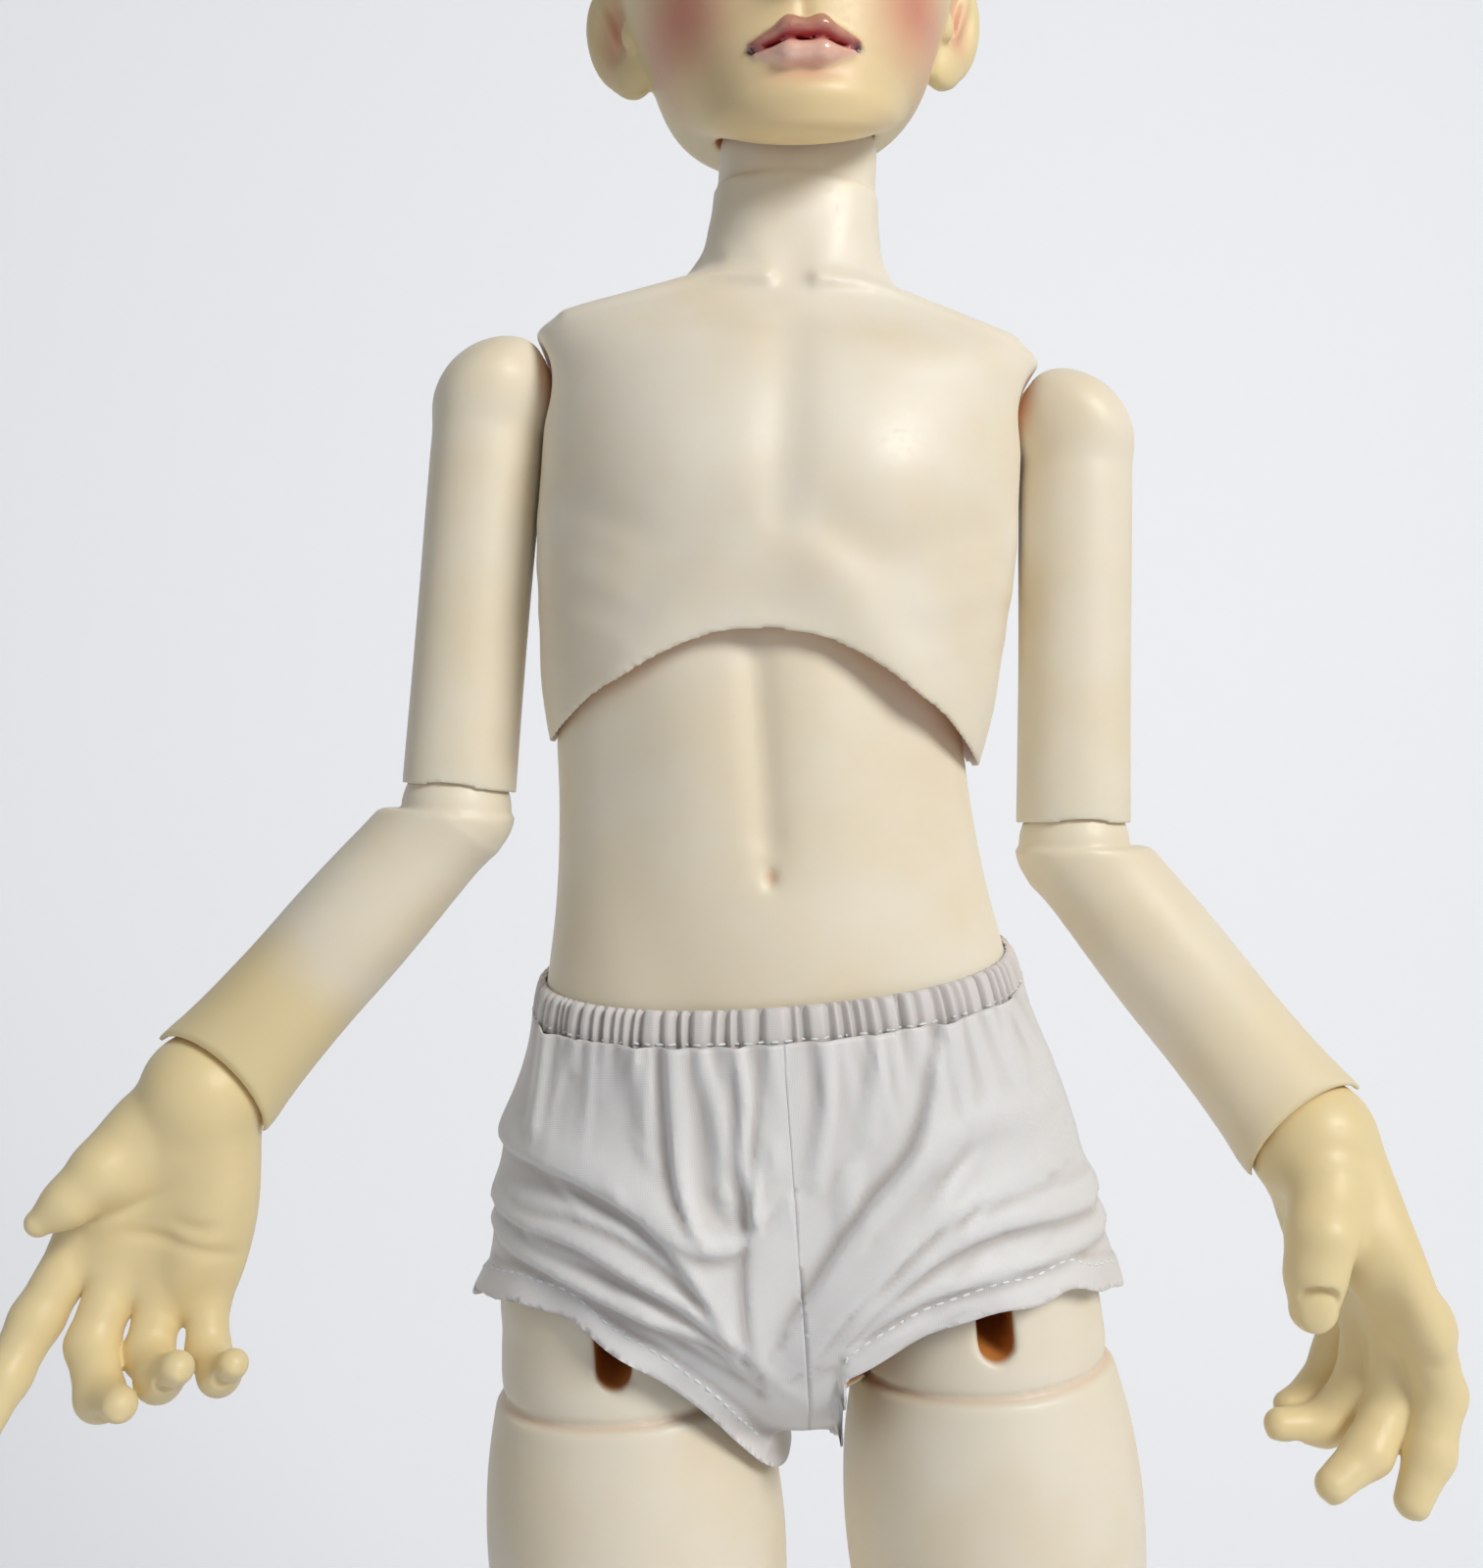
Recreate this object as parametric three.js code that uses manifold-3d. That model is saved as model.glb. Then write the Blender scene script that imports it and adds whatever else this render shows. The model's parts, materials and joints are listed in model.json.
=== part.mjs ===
// Ball-jointed resin doll strung on elastic, in millimetres, standing on its soles.
// Front faces -Y, the doll's left side is +X. side = +1 is the doll's left, -1 its right.
import * as THREE from "three";
import Module from "manifold-3d";

// Whole figure
const jointGap = 0.2;
const fitGap = 0.35;
const cordRadius = 1.5;
const cordBore = 2.4;
const cordGap = 0.6;
const wireRadius = 0.9;
const hipSpread = 36;
const waistRise = 101.4;
const waistLean = 7.4;
const shoulderRise = 76.1;
const shoulderSpread = 59.2;
const neckRise = 44.5;
const neckBack = 3;

// Ball radii
const waistBall = 42.6;
const shoulderBall = 13;
const elbowBall = 11;
const wristBall = 12.3;
const hipBall = 24;
const kneeBall = 16;
const ankleBall = 11;
const neckBall = 16;

// Limb lengths, pivot to pivot
const upperArmLength = 84.8;
const forearmLength = 76.8;
const thighLength = 160;
const shinLength = 146;
const ankleHeight = 36;

// Heights of the pivots over the floor
const hipHeight = ankleHeight + shinLength + thighLength;
const waistHeight = hipHeight + waistRise;
const shoulderHeight = waistHeight + shoulderRise;
const neckHeight = shoulderHeight + neckRise;

// Pose of the photographed arms and head, degrees
const armSpread = { right: 1.5, left: 3 };
const elbowTilt = { right: 36.7, left: 39 };
const handTilt = { right: 22, left: 16 };
const handTwist = { right: 0, left: 78 };
const pinAlong = { right: "y", left: "x" };
const headTurn = 2;
const headRoll = -5.8;

// Rims of the sockets above the ball centres
const elbowRim = 4;
const wristRim = 3.5;
const kneeRim = 4;
const ankleRim = 4;
const pinHalf = 7.5;
const hookEye = 2.4;
const hookRise = 12.2;
const hookTop = hookRise + hookEye + wireRadius;

// Head
const headWall = 5;
const headFloor = 24.5;
const capPoint = { y: -25, z: 74 };
const capEnd = { y: 42, z: 34 };
const eyeRadius = 8;
const eyeAt = { x: 15.5, y: -23.5, z: 47 };
const magnetRadius = 1.6;
const magnetThick = 2;
const magnetBoss = 3.6;
const magnetFront = 2.4;
const magnetBack = 4;

// Shorts
const clothThick = 1.1;
const bandTop = hipHeight + 66;
const bandHeight = 7.6;
const bandDip = 10;
const bandThick = 1.6;
const gatherCount = 26;
const gatherDepth = 0.7;

const wasm = await Module();
wasm.setup();

const rad = THREE.MathUtils.degToRad;
const at = (x, y, z) => new THREE.Vector3(x, y, z);

// Closed body from rings of points, each ring turning anticlockwise about the way ahead
function skin(rings) {
  const count = rings[0].length;
  const points = rings.flat().flatMap((p) => [p.x, p.y, p.z]);
  const faces = [];
  for (let r = 0; r + 1 < rings.length; r += 1) {
    for (let i = 0; i < count; i += 1) {
      const a = r * count + i;
      const b = r * count + ((i + 1) % count);
      faces.push(a, b, b + count, a, b + count, a + count);
    }
  }
  for (const end of [0, rings.length - 1]) {
    const middle = rings[end].reduce((sum, p) => sum.add(p), at(0, 0, 0)).divideScalar(count);
    const hub = points.length / 3;
    points.push(middle.x, middle.y, middle.z);
    for (let i = 0; i < count; i += 1) {
      const a = end * count + i;
      const b = end * count + ((i + 1) % count);
      faces.push(hub, end === 0 ? b : a, end === 0 ? a : b);
    }
  }
  const geometry = new THREE.BufferGeometry();
  geometry.setAttribute("position", new THREE.Float32BufferAttribute(points, 3));
  geometry.setIndex(faces);
  return geometry;
}

// Smooth curve through rows of numbers
function smooth(rows, steps) {
  const out = [];
  for (let i = 0; i + 1 < rows.length; i += 1) {
    const p = [rows[Math.max(i - 1, 0)], rows[i], rows[i + 1], rows[Math.min(i + 2, rows.length - 1)]];
    for (let k = 0; k < steps; k += 1) {
      const t = k / steps;
      out.push(rows[0].map((_, c) => THREE.MathUtils.lerp(
        p[1][c] + (t * (p[2][c] - p[0][c])) / 2 * (1 - t),
        p[2][c] - ((1 - t) * (p[3][c] - p[1][c])) / 2 * t,
        t * t * (3 - 2 * t),
      )));
    }
  }
  out.push(rows[rows.length - 1]);
  return out;
}

// Rows whose first number is a share of the way from one height to another
function between(low, high, rows) {
  return rows.map(([share, ...rest]) => [THREE.MathUtils.lerp(low, high, share), ...rest]);
}

// Upright body through rows of height, half width, front depth, back depth and, if given,
// the depth of its widest line
function loft(rows, options = {}) {
  const { sides = 14, steps = 1, square = 2, ripple = null } = options;
  const rings = smooth(rows, steps).map(([z, wide, front, back, middle = 0]) => {
    const ring = [];
    for (let i = 0; i < sides; i += 1) {
      const turn = (2 * Math.PI * i) / sides;
      const c = Math.cos(turn);
      const s = Math.sin(turn);
      const x = Math.sign(c) * Math.abs(c) ** (2 / square);
      const y = Math.sign(s) * Math.abs(s) ** (2 / square);
      const grow = ripple ? ripple(turn, z) : 0;
      const depth = (s < 0 ? front : back) + grow;
      ring.push(at((wide + grow) * x, middle + depth * y, z));
    }
    return ring;
  });
  return skin(rings);
}

// Round bar along a path of points with a radius at each, closed by a rounded tip
function limb(path, radii, sides = 10) {
  const curve = new THREE.CatmullRomCurve3(path);
  const steps = path.length - 1;
  const frames = curve.computeFrenetFrames(steps, false);
  const last = path.length - 1;
  const rings = [];
  const ringAt = (centre, k, radius) => Array.from({ length: sides }, (_, i) => {
    const turn = (2 * Math.PI * i) / sides;
    return centre.clone()
      .addScaledVector(frames.normals[k], radius * Math.cos(turn))
      .addScaledVector(frames.binormals[k], radius * Math.sin(turn));
  });
  for (let k = 0; k <= steps; k += 1) {
    const t = (k / steps) * last;
    const low = Math.min(Math.floor(t), last - 1);
    const radius = THREE.MathUtils.lerp(radii[low], radii[low + 1], t - low);
    rings.push(ringAt(curve.getPoint(k / steps), k, radius));
  }
  for (const tip of [0.6, 0.9]) {
    const centre = path[last].clone().addScaledVector(frames.tangents[steps], radii[last] * tip);
    rings.push(ringAt(centre, steps, radii[last] * Math.sqrt(1 - tip * tip)));
  }
  return skin(rings);
}

// Closed solid with shared corners, ready for joining and cutting
function solid(geometry) {
  const source = geometry.getAttribute("position");
  const order = geometry.index ? geometry.index.array : source.array.map((_, i) => i);
  const corners = new Map();
  const points = [];
  const faces = [];
  const total = geometry.index ? geometry.index.count : source.count;
  for (let f = 0; f + 2 < total; f += 3) {
    const face = [0, 1, 2].map((k) => {
      const v = order[f + k];
      const place = [source.getX(v), source.getY(v), source.getZ(v)];
      const key = place.map((n) => Math.round(n * 1e4)).join(",");
      if (!corners.has(key)) {
        corners.set(key, points.length / 3);
        points.push(...place);
      }
      return corners.get(key);
    });
    if (new Set(face).size === 3) {
      faces.push(...face);
    }
  }
  return new wasm.Manifold(new wasm.Mesh({
    numProp: 3,
    vertProperties: new Float32Array(points),
    triVerts: new Uint32Array(faces),
  }));
}

function ball(radius, centre = at(0, 0, 0), sides = 14) {
  const geometry = new THREE.SphereGeometry(radius, sides, sides / 2);
  return geometry.rotateX(Math.PI / 2).translate(centre.x, centre.y, centre.z);
}

// Hollow for a ball: its flat facets stay outside the ball by the joint gap
function hollow(radius, centre = at(0, 0, 0), sides = 14) {
  const reach = (radius + jointGap) / Math.cos(Math.PI / sides) ** 2;
  return solid(ball(reach, centre, sides));
}

function rod(from, to, radius, sides = 8) {
  const way = to.clone().sub(from);
  const geometry = new THREE.CylinderGeometry(radius, radius, way.length(), sides);
  const turn = new THREE.Quaternion().setFromUnitVectors(at(0, 1, 0), way.clone().normalize());
  const middle = from.clone().lerp(to, 0.5);
  return geometry.applyQuaternion(turn).translate(middle.x, middle.y, middle.z);
}

function box(low, high) {
  const size = high.clone().sub(low);
  const middle = low.clone().lerp(high, 0.5);
  return new THREE.BoxGeometry(size.x, size.y, size.z).translate(middle.x, middle.y, middle.z);
}

// Pie-shaped cutter: angles run from +Z towards +X, or towards +Y when along is "x"
function pie(fromDeg, toDeg, radius, width, along = "y") {
  const steps = 5;
  const shape = new THREE.Shape();
  shape.moveTo(0, 0);
  for (let k = 0; k <= steps; k += 1) {
    const turn = rad(THREE.MathUtils.lerp(fromDeg, toDeg, k / steps));
    shape.lineTo(radius * Math.sin(turn), radius * Math.cos(turn));
  }
  const geometry = new THREE.ExtrudeGeometry(shape, { depth: width, bevelEnabled: false });
  geometry.translate(0, 0, -width / 2).rotateX(Math.PI / 2);
  return along === "x" ? geometry.rotateZ(Math.PI / 2) : geometry;
}

// Bent wire through points
function wire(points, radius = wireRadius) {
  const path = new THREE.CatmullRomCurve3(points);
  const ring = new THREE.Shape();
  ring.absarc(0, 0, radius, 0, 2 * Math.PI);
  return new THREE.ExtrudeGeometry(ring, {
    steps: points.length,
    curveSegments: 3,
    bevelEnabled: false,
    extrudePath: path,
  });
}

const resin = new THREE.MeshStandardMaterial({ color: 0xf0e0cc, roughness: 0.5 });
const cotton = new THREE.MeshStandardMaterial({ color: 0xf6f2ec, roughness: 0.8 });
const elastic = new THREE.MeshStandardMaterial({ color: 0xe9dccb, roughness: 0.9 });
const steel = new THREE.MeshStandardMaterial({ color: 0xb9bdc2, metalness: 1, roughness: 0.3 });
const acrylic = new THREE.MeshStandardMaterial({ color: 0x4d6a78, roughness: 0.1 });

function add(parent, name, shape, material) {
  const body = shape instanceof THREE.BufferGeometry ? solid(shape) : shape;
  const mesh = body.getMesh();
  const geometry = new THREE.BufferGeometry();
  geometry.setAttribute("position", new THREE.BufferAttribute(new Float32Array(mesh.vertProperties), 3));
  geometry.setIndex(new THREE.BufferAttribute(new Uint32Array(mesh.triVerts), 1));
  geometry.computeVertexNormals();
  const piece = new THREE.Mesh(geometry, material);
  piece.name = name;
  parent.add(piece);
  return piece;
}

const join = (first, ...rest) => rest.reduce((sum, next) => sum.add(next), first);
const cut = (first, ...rest) => rest.reduce((sum, next) => sum.subtract(next), first);

function group(parent, name, place, turn = [0, 0, 0]) {
  const frame = new THREE.Group();
  frame.name = name;
  frame.position.copy(place);
  frame.rotation.set(...turn.map(rad));
  parent.add(frame);
  return frame;
}

// Hook with an eye at the foot that hangs on a pin and an open loop above for the elastic
function hook() {
  const points = [];
  for (let k = 0; k <= 6; k += 1) {
    const turn = rad(-90 + k * 42);
    points.push(at(0, hookEye * Math.cos(turn), hookRise + hookEye * Math.sin(turn)));
  }
  const eye = new THREE.TorusGeometry(hookEye, wireRadius, 6, 8).rotateY(Math.PI / 2);
  const shank = rod(at(0, 0, hookEye), at(0, 0, hookRise - hookEye), wireRadius, 6);
  return join(solid(eye), solid(shank), solid(wire(points)));
}

const doll = new THREE.Group();
doll.name = "ball_jointed_doll";

// Lower torso
const lower = group(doll, "lower", at(0, 0, 0));
const waist = at(0, 0, waistHeight);
const pelvisRows = [
  [hipHeight - 22, 5, 9, 12],
  [hipHeight - 18, 11, 14, 20],
  [hipHeight - 10, hipSpread - 4, 21.5, 28.5],
  [hipHeight + 3, hipSpread + 12, 26.5, 33],
  [hipHeight + 23, hipSpread + 16, 28.5, 34],
  [hipHeight + 43, hipSpread + 14, 29.5, 31],
  ...between(hipHeight, waistHeight, [
    [0.61, 46.6, 29.6, 28],
    [0.8, 43, 29, 26.5],
    [1, waistBall - 1.6, 28.6, 26],
  ]),
  [waistHeight + 15, waistBall - 2, 28.6, 26.5],
  [waistHeight + 46, waistBall - 2, 28.6, 27],
];
const trunkSides = 20;
const pelvisForm = solid(loft(pelvisRows, { sides: trunkSides, square: 2.15 }));
const domeStart = waistHeight + 11;
const above = solid(box(at(-60, -60, domeStart), at(60, 60, waistHeight + 60)));
const domeCut = cut(above, solid(ball(waistBall, waist, 24)));
const pelvisHollow = solid(loft([
  [hipHeight + 10, 7, 16, 18],
  [hipHeight + 26, 9, 19, 21],
  [hipHeight + 42, hipSpread, 20, 22],
  ...between(hipHeight, waistHeight, [
    [0.61, 37, 20, 19],
    [1, waistBall - 11.6, 19, 17],
  ]),
  [waistHeight + 26, 22, 15, 14],
], { sides: 12 }));
const navel = solid(ball(2.2, at(0, -29.8, waistHeight - 17.4), 8));
const domeHole = solid(rod(at(0, 0, waistHeight + 15), at(0, 0, waistHeight + 50), 17, 12));
const hipPivot = (side) => at(side * hipSpread, 0, hipHeight);
const legSweep = hipBall + 13;
const bulbSweep = hipBall + 9;
let pelvis = cut(pelvisForm, domeCut, pelvisHollow, domeHole, navel);
for (const side of [1, -1]) {
  const hip = hipPivot(side);
  const open = pie(90 - 30, 270 + 34, legSweep, 52, "x");
  const bulbOpen = pie(90 - 30, 270 + 64, bulbSweep, 52, "x");
  for (const sweep of [open, bulbOpen]) {
    sweep.translate(side * (6.4 + 26), hip.y, hip.z);
  }
  const cordEnd = at(side * 4, 0, waistHeight - 34);
  const way = cordEnd.clone().sub(hip).normalize();
  pelvis = cut(
    pelvis,
    solid(open),
    solid(bulbOpen),
    hollow(hipBall, hip, 20),
    solid(rod(hip.clone().addScaledVector(way, 18), hip.clone().addScaledVector(way, 52), cordBore)),
  );
  const name = side > 0 ? "left" : "right";
  const start = hip.clone().addScaledVector(way, hipBall + 1);
  add(lower, `pelvis_elastic_${name}`, rod(start, cordEnd, cordRadius), elastic);
}
add(lower, "lower_torso", pelvis, resin);
const cordWaist = waistHeight + 24;
add(lower, "waist_elastic", rod(at(0, 0, waistHeight - 28), at(0, 0, cordWaist), cordRadius), elastic);

// Shorts: the body and two legs of thin cloth with wrinkles that run to the crotch
const dipped = (form) => form.rotateX(rad(bandDip)).translate(0, 0, bandTop);
const shortsTop = dipped(box(at(-80, -80, -bandHeight - fitGap), at(80, 80, 60)));
const crotchFoot = hipHeight - 23.4;
const crotchRows = [
  [crotchFoot, 13, 15, 20],
  [hipHeight - 16, hipSpread, 24, 31],
];
const shortsRows = [
  [hipHeight - 8, hipSpread + 14, 28.8, 36],
  [hipHeight + 2, hipSpread + 21, 31.4, 38.4],
  [hipHeight + 14, hipSpread + 23, 32.4, 39],
  [hipHeight + 28, hipSpread + 21.6, 32.2, 37.4],
  [hipHeight + 42, hipSpread + 18, 32, 34],
  [hipHeight + 54, hipSpread + 13.6, 32, 31.4],
  [bandTop + 8, hipSpread + 12, 32, 30.4],
];
const legRows = (grow) => [
  [-40, 32.2 + grow, 32.6 + grow, 32.6 + grow],
  [-26, 30.8 + grow, 31.2 + grow, 31.2 + grow],
  [-12, 28.8 + grow, 28.8 + grow, 28.8 + grow],
  [4, 26.6 + grow, 26.6 + grow, 26.6 + grow],
  [17, 21.5 + grow, 21.5 + grow, 21.5 + grow],
];
const crease = (turn, z) => {
  const drop = bandTop - bandHeight - z;
  const lowShare = THREE.MathUtils.clamp(drop / 60, 0, 1);
  return lowShare * (0.8 * Math.sin(7 * turn - drop / 9) + 0.5 * Math.sin(12 * turn + drop / 6));
};
const clothSides = 22;
const bodyCloth = (grow, inside) => {
  const rows = [...crotchRows, ...shortsRows].map(([z, wide, front, back], i) => (
    [z - (i < crotchRows.length ? grow : 0), wide + grow, front + grow, back + grow]
  ));
  const top = rows[rows.length - 1];
  const open = inside ? [[top[0] + 12, top[1], top[2], top[3]]] : [];
  return solid(loft([...rows, ...open], { sides: clothSides, square: 2.15, ripple: crease }));
};
const legCloth = (side, grow, inside) => {
  const rows = legRows(grow);
  const hem = inside ? [[-60, rows[0][1], rows[0][2], rows[0][3]], ...rows] : rows;
  const wave = (turn, z) => 0.6 * Math.sin(6 * turn + z / 5) * THREE.MathUtils.clamp((8 - z) / 20, 0, 1);
  const form = loft(hem, { sides: 20, ripple: wave });
  return solid(form.translate(side * (hipSpread + 0.3), 0, hipHeight));
};
const hems = {
  right: { height: hipHeight - 4, tilt: 26 },
  left: { height: hipHeight - 4, tilt: 8 },
};
const hemCut = (side, hem) => {
  const slab = box(at(-hipSpread + 2, -70, -60), at(90, 70, 0));
  slab.rotateY(-rad(hem.tilt)).translate(hipSpread, 0, hem.height);
  return solid(slab.applyMatrix4(new THREE.Matrix4().makeRotationZ(side > 0 ? 0 : Math.PI)));
};
const crotchCut = solid(box(at(-18, -70, crotchFoot - 80), at(18, 70, crotchFoot - clothThick)));
const cloth = (grow, inside) => join(
  bodyCloth(grow, inside),
  legCloth(1, grow, inside),
  legCloth(-1, grow, inside),
);
const shorts = cut(
  cloth(clothThick, false),
  cloth(0, true),
  solid(shortsTop),
  crotchCut,
  hemCut(1, hems.left),
  hemCut(-1, hems.right),
);
add(lower, "shorts", shorts, cotton);
const bandRows = (grow) => [
  [-bandHeight, 48.6 + grow, 31.6 + grow, 30.4 + grow],
  [0, 46.8 + grow, 31.2 + grow, 29.4 + grow],
];
const gathers = (turn) => gatherDepth * Math.cos(gatherCount * turn);
const gathered = { sides: gatherCount * 2, square: 2.15, ripple: gathers };
const bandOuter = solid(dipped(loft(bandRows(bandThick), gathered)));
const [bandFoot, bandHead] = bandRows(0);
const bandInner = solid(dipped(loft([
  [bandFoot[0] - 4, ...bandFoot.slice(1)],
  ...bandRows(0),
  [bandHead[0] + 4, ...bandHead.slice(1)],
], { sides: trunkSides, square: 2.15 })));
add(lower, "shorts_waistband", cut(bandOuter, bandInner), cotton);

// Upper torso with the neck, leaning at the waist
const upper = group(doll, "upper", waist, [0, waistLean, 0]);
const chest = group(upper, "chest", waist.clone().negate());
const chestRows = [
  [waistHeight + 8, waistBall + 1, 32.8, 29],
  [waistHeight + 17, waistBall + 2.8, 33.2, 30.2],
  ...between(waistHeight, shoulderHeight, [
    [0.4, waistBall + 4, 33.8, 31.6],
    [0.61, shoulderSpread - 11.2, 35, 33],
    [0.82, shoulderSpread - 11.3, 34.4, 34],
    [0.99, shoulderSpread - 11, 31.2, 33],
  ]),
  ...between(shoulderHeight, neckHeight, [
    [0.18, shoulderSpread - 9.2, 26.6, 30],
    [0.265, shoulderSpread - 9, 22.6, 26.8],
    [0.335, shoulderSpread - 13.2, 19.8, 24.6],
    [0.42, shoulderSpread - 23.2, 17.4, 22.6],
    [0.515, neckBall + 9, 15.4, 20.8],
    [0.615, neckBall + 3.8, 14.2, 19.2],
    [0.8, neckBall + 1.2, 13.4, 17.6],
    [0.955, neckBall + 0.4, 12.8, 16.4],
  ]),
];
const neckPivot = at(0, neckBack, neckHeight);
const neckTop = solid(ball(neckBall, neckPivot, 14));
const chestHollow = solid(loft([
  [waistHeight, waistBall - 8.6, 22, 20],
  ...between(waistHeight, shoulderHeight, [
    [0.55, shoulderSpread - 19.5, 25, 24],
    [0.73, shoulderSpread - 23.5, 24, 24],
    [0.855, shoulderSpread - 31.5, 20, 22],
  ]),
  [shoulderHeight + 6.5, 20, 14, 18],
  [shoulderHeight + 14.5, 8, 8, 10, neckBack],
], { sides: 12 }));
const throat = solid(rod(at(0, neckBack, shoulderHeight + 6.5), at(0, neckBack, neckHeight + 26), 6, 10));
const neckSlot = solid(pie(-34, 34, 24, 7, "x").translate(0, neckBack, neckHeight - 3));
let chestSolid = cut(
  join(solid(loft(chestRows, { sides: trunkSides, square: 2.2 })), neckTop),
  hollow(waistBall, waist, 24),
  chestHollow,
  throat,
  neckSlot,
);
const shoulderPivot = (side) => at(side * shoulderSpread, 0, shoulderHeight);
for (const side of [1, -1]) {
  const pivot = shoulderPivot(side);
  const inside = at(side * 14, 0, shoulderHeight);
  chestSolid = cut(chestSolid, hollow(shoulderBall, pivot), solid(rod(inside, pivot, cordBore)));
}
add(chest, "upper_torso", chestSolid, resin);
const strapEnd = shoulderSpread - shoulderBall - 4;
const cordPass = 2 * cordRadius + jointGap;
add(chest, "chest_arm_elastic",
  rod(at(-strapEnd, 0, shoulderHeight), at(strapEnd, 0, shoulderHeight), cordRadius), elastic);
add(chest, "neck_elastic", wire([
  at(0, 0, cordWaist + cordGap),
  at(0, cordPass, shoulderHeight),
  at(0, neckBack + 1.6, neckHeight - 20),
], cordRadius), elastic);

// Head
const head = group(chest, "head", neckPivot, [0, headRoll, headTurn]);
const headRows = [
  [2, 9, 6, 5, -25],
  [4.2, 15, 11.5, 12, -21.5],
  [8, 21.5, 20, 30, -13],
  [12, 25, 25.5, 39, -8.5],
  [16.5, 27.6, 29, 42, -5.5],
  [25, 30.4, 32.6, 42, -2],
  [36, 33.2, 35.4, 42, 1],
  [48, 35.2, 37.2, 42, 3],
  [60, 36, 39, 41, 5],
  [69, 34.8, 38, 38, 6],
  [77, 30, 32, 31, 6.5],
  [83, 21.5, 22.5, 21.5, 7],
  [86.4, 10, 11, 10, 7],
];
const inset = (rows, by) => rows.map(([z, wide, front, back, mid]) => (
  [z, wide - by, front - by, back - by, mid]
));
const headForm = solid(loft(headRows, { sides: 16, square: 2.1 }));
const wellRows = inset(headRows.slice(4, 12), headWall);
wellRows[7][0] -= headWall * 0.6;
const headRoom = cut(solid(loft(wellRows, { sides: 10 })), solid(ball(headFloor, at(0, 0, 0), 20)));
const nose = solid(limb([at(0, -34, 45), at(0, -36.2, 37), at(0, -38.6, 29.5)], [2.6, 3.2, 4], 6));
const wings = [1, -1].map((s) => solid(ball(3.2, at(s * 4.2, -35.4, 28.4), 6)));
const lips = [
  solid(ball(1, at(0, 0, 0), 10).scale(9.4, 5, 2.9).translate(0, -31.6, 18.6)),
  solid(ball(1, at(0, 0, 0), 10).scale(8.6, 5.6, 3.1).translate(0, -31.2, 14.4)),
];
const mouthLine = solid(rod(at(-10, -36.6, 16.8), at(10, -36.6, 16.8), 0.7, 6));
const ears = [1, -1].map((s) => {
  const shell = ball(1, at(0, 0, 0), 8).scale(3.4, 7.6, 12.4).rotateX(rad(-12)).rotateZ(s * rad(-24));
  const bowl = ball(1, at(0, 0, 0), 8).scale(3, 4.6, 7.4).rotateX(rad(-12));
  shell.translate(s * 36.4, 9, 35);
  bowl.translate(s * 39.6, 7.4, 36.5);
  return [solid(shell), solid(bowl)];
});
const capWay = at(0, capEnd.y - capPoint.y, capEnd.z - capPoint.z).normalize();
const capUp = at(0, -capWay.z, capWay.y);
const capBase = at(0, capPoint.y, capPoint.z);
const capLength = Math.hypot(capEnd.y - capPoint.y, capEnd.z - capPoint.z);
const capSide = (lift) => {
  const slab = box(at(-70, -70, lift), at(70, 70, 140));
  slab.rotateX(Math.atan2(-capUp.y, capUp.z));
  const middle = capBase.clone().addScaledVector(capWay, capLength / 2);
  return solid(slab.translate(middle.x, middle.y, middle.z));
};
const magnetSpots = [magnetFront, capLength - magnetBack]
  .map((along) => capBase.clone().addScaledVector(capWay, along));
const onSeam = (spot, low, high, radius) => solid(
  rod(spot.clone().addScaledVector(capUp, low), spot.clone().addScaledVector(capUp, high), radius, 8),
);
const bosses = magnetSpots.map((spot) => onSeam(spot, -7, 7, magnetBoss).intersect(headForm));
const pocket = magnetThick + fitGap;
let skull = join(headForm, nose, ...wings, ...lips, ...ears.map((e) => e[0]));
skull = cut(skull, mouthLine, ...ears.map((e) => e[1]), headRoom);
skull = join(skull, ...bosses);
skull = cut(skull, ...magnetSpots.map((spot) => onSeam(spot, -pocket, pocket, magnetRadius + fitGap)));
const eyeHole = (s) => {
  const almond = ball(1, at(0, 0, 0), 10).scale(7.6, 14, 4.2);
  return solid(almond.translate(s * eyeAt.x, eyeAt.y - 9, eyeAt.z));
};
for (const s of [1, -1]) {
  const centre = at(s * eyeAt.x, eyeAt.y, eyeAt.z);
  const back = rod(centre, centre.clone().add(at(0, 18, 0)), eyeRadius + jointGap, 10);
  skull = cut(skull, eyeHole(s), hollow(eyeRadius, centre, 10), solid(back));
}
const seat = hollow(neckBall, at(0, 0, 0), 14);
const hookSlot = solid(pie(-30, 30, headFloor + 4, 7, "x"));
const below = cut(skull, capSide(-fitGap / 2), seat, hookSlot);
add(head, "head_shell", below, resin);
add(head, "head_cap", skull.intersect(capSide(fitGap / 2)), resin);
["front", "back"].forEach((name, i) => {
  const deep = pocket - 0.1;
  const near = deep - magnetThick;
  add(head, `head_magnet_${name}`, onSeam(magnetSpots[i], -deep, -near, magnetRadius), steel);
  add(head, `cap_magnet_${name}`, onSeam(magnetSpots[i], near, deep, magnetRadius), steel);
});
for (const s of [1, -1]) {
  const eyeball = solid(ball(eyeRadius, at(s * eyeAt.x, eyeAt.y, eyeAt.z), 10));
  const back = solid(box(at(-60, eyeAt.y + 2, 20), at(60, 60, 80)));
  add(head, s > 0 ? "left_eye" : "right_eye", cut(eyeball, back), acrylic);
}
const barHeight = headFloor + fitGap + wireRadius;
const neckBar = join(
  solid(rod(at(-7, 0, barHeight), at(7, 0, barHeight), wireRadius, 8)),
  solid(rod(at(0, 0, barHeight), at(0, 0, -12), wireRadius, 8)),
  solid(new THREE.TorusGeometry(3.2, wireRadius, 6, 10).rotateY(Math.PI / 2).translate(0, 0, -15)),
);
const neckFrame = group(chest, "neck_frame", neckPivot, [0, headRoll, headTurn]);
add(neckFrame, "neck_hook", neckBar, steel);

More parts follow.
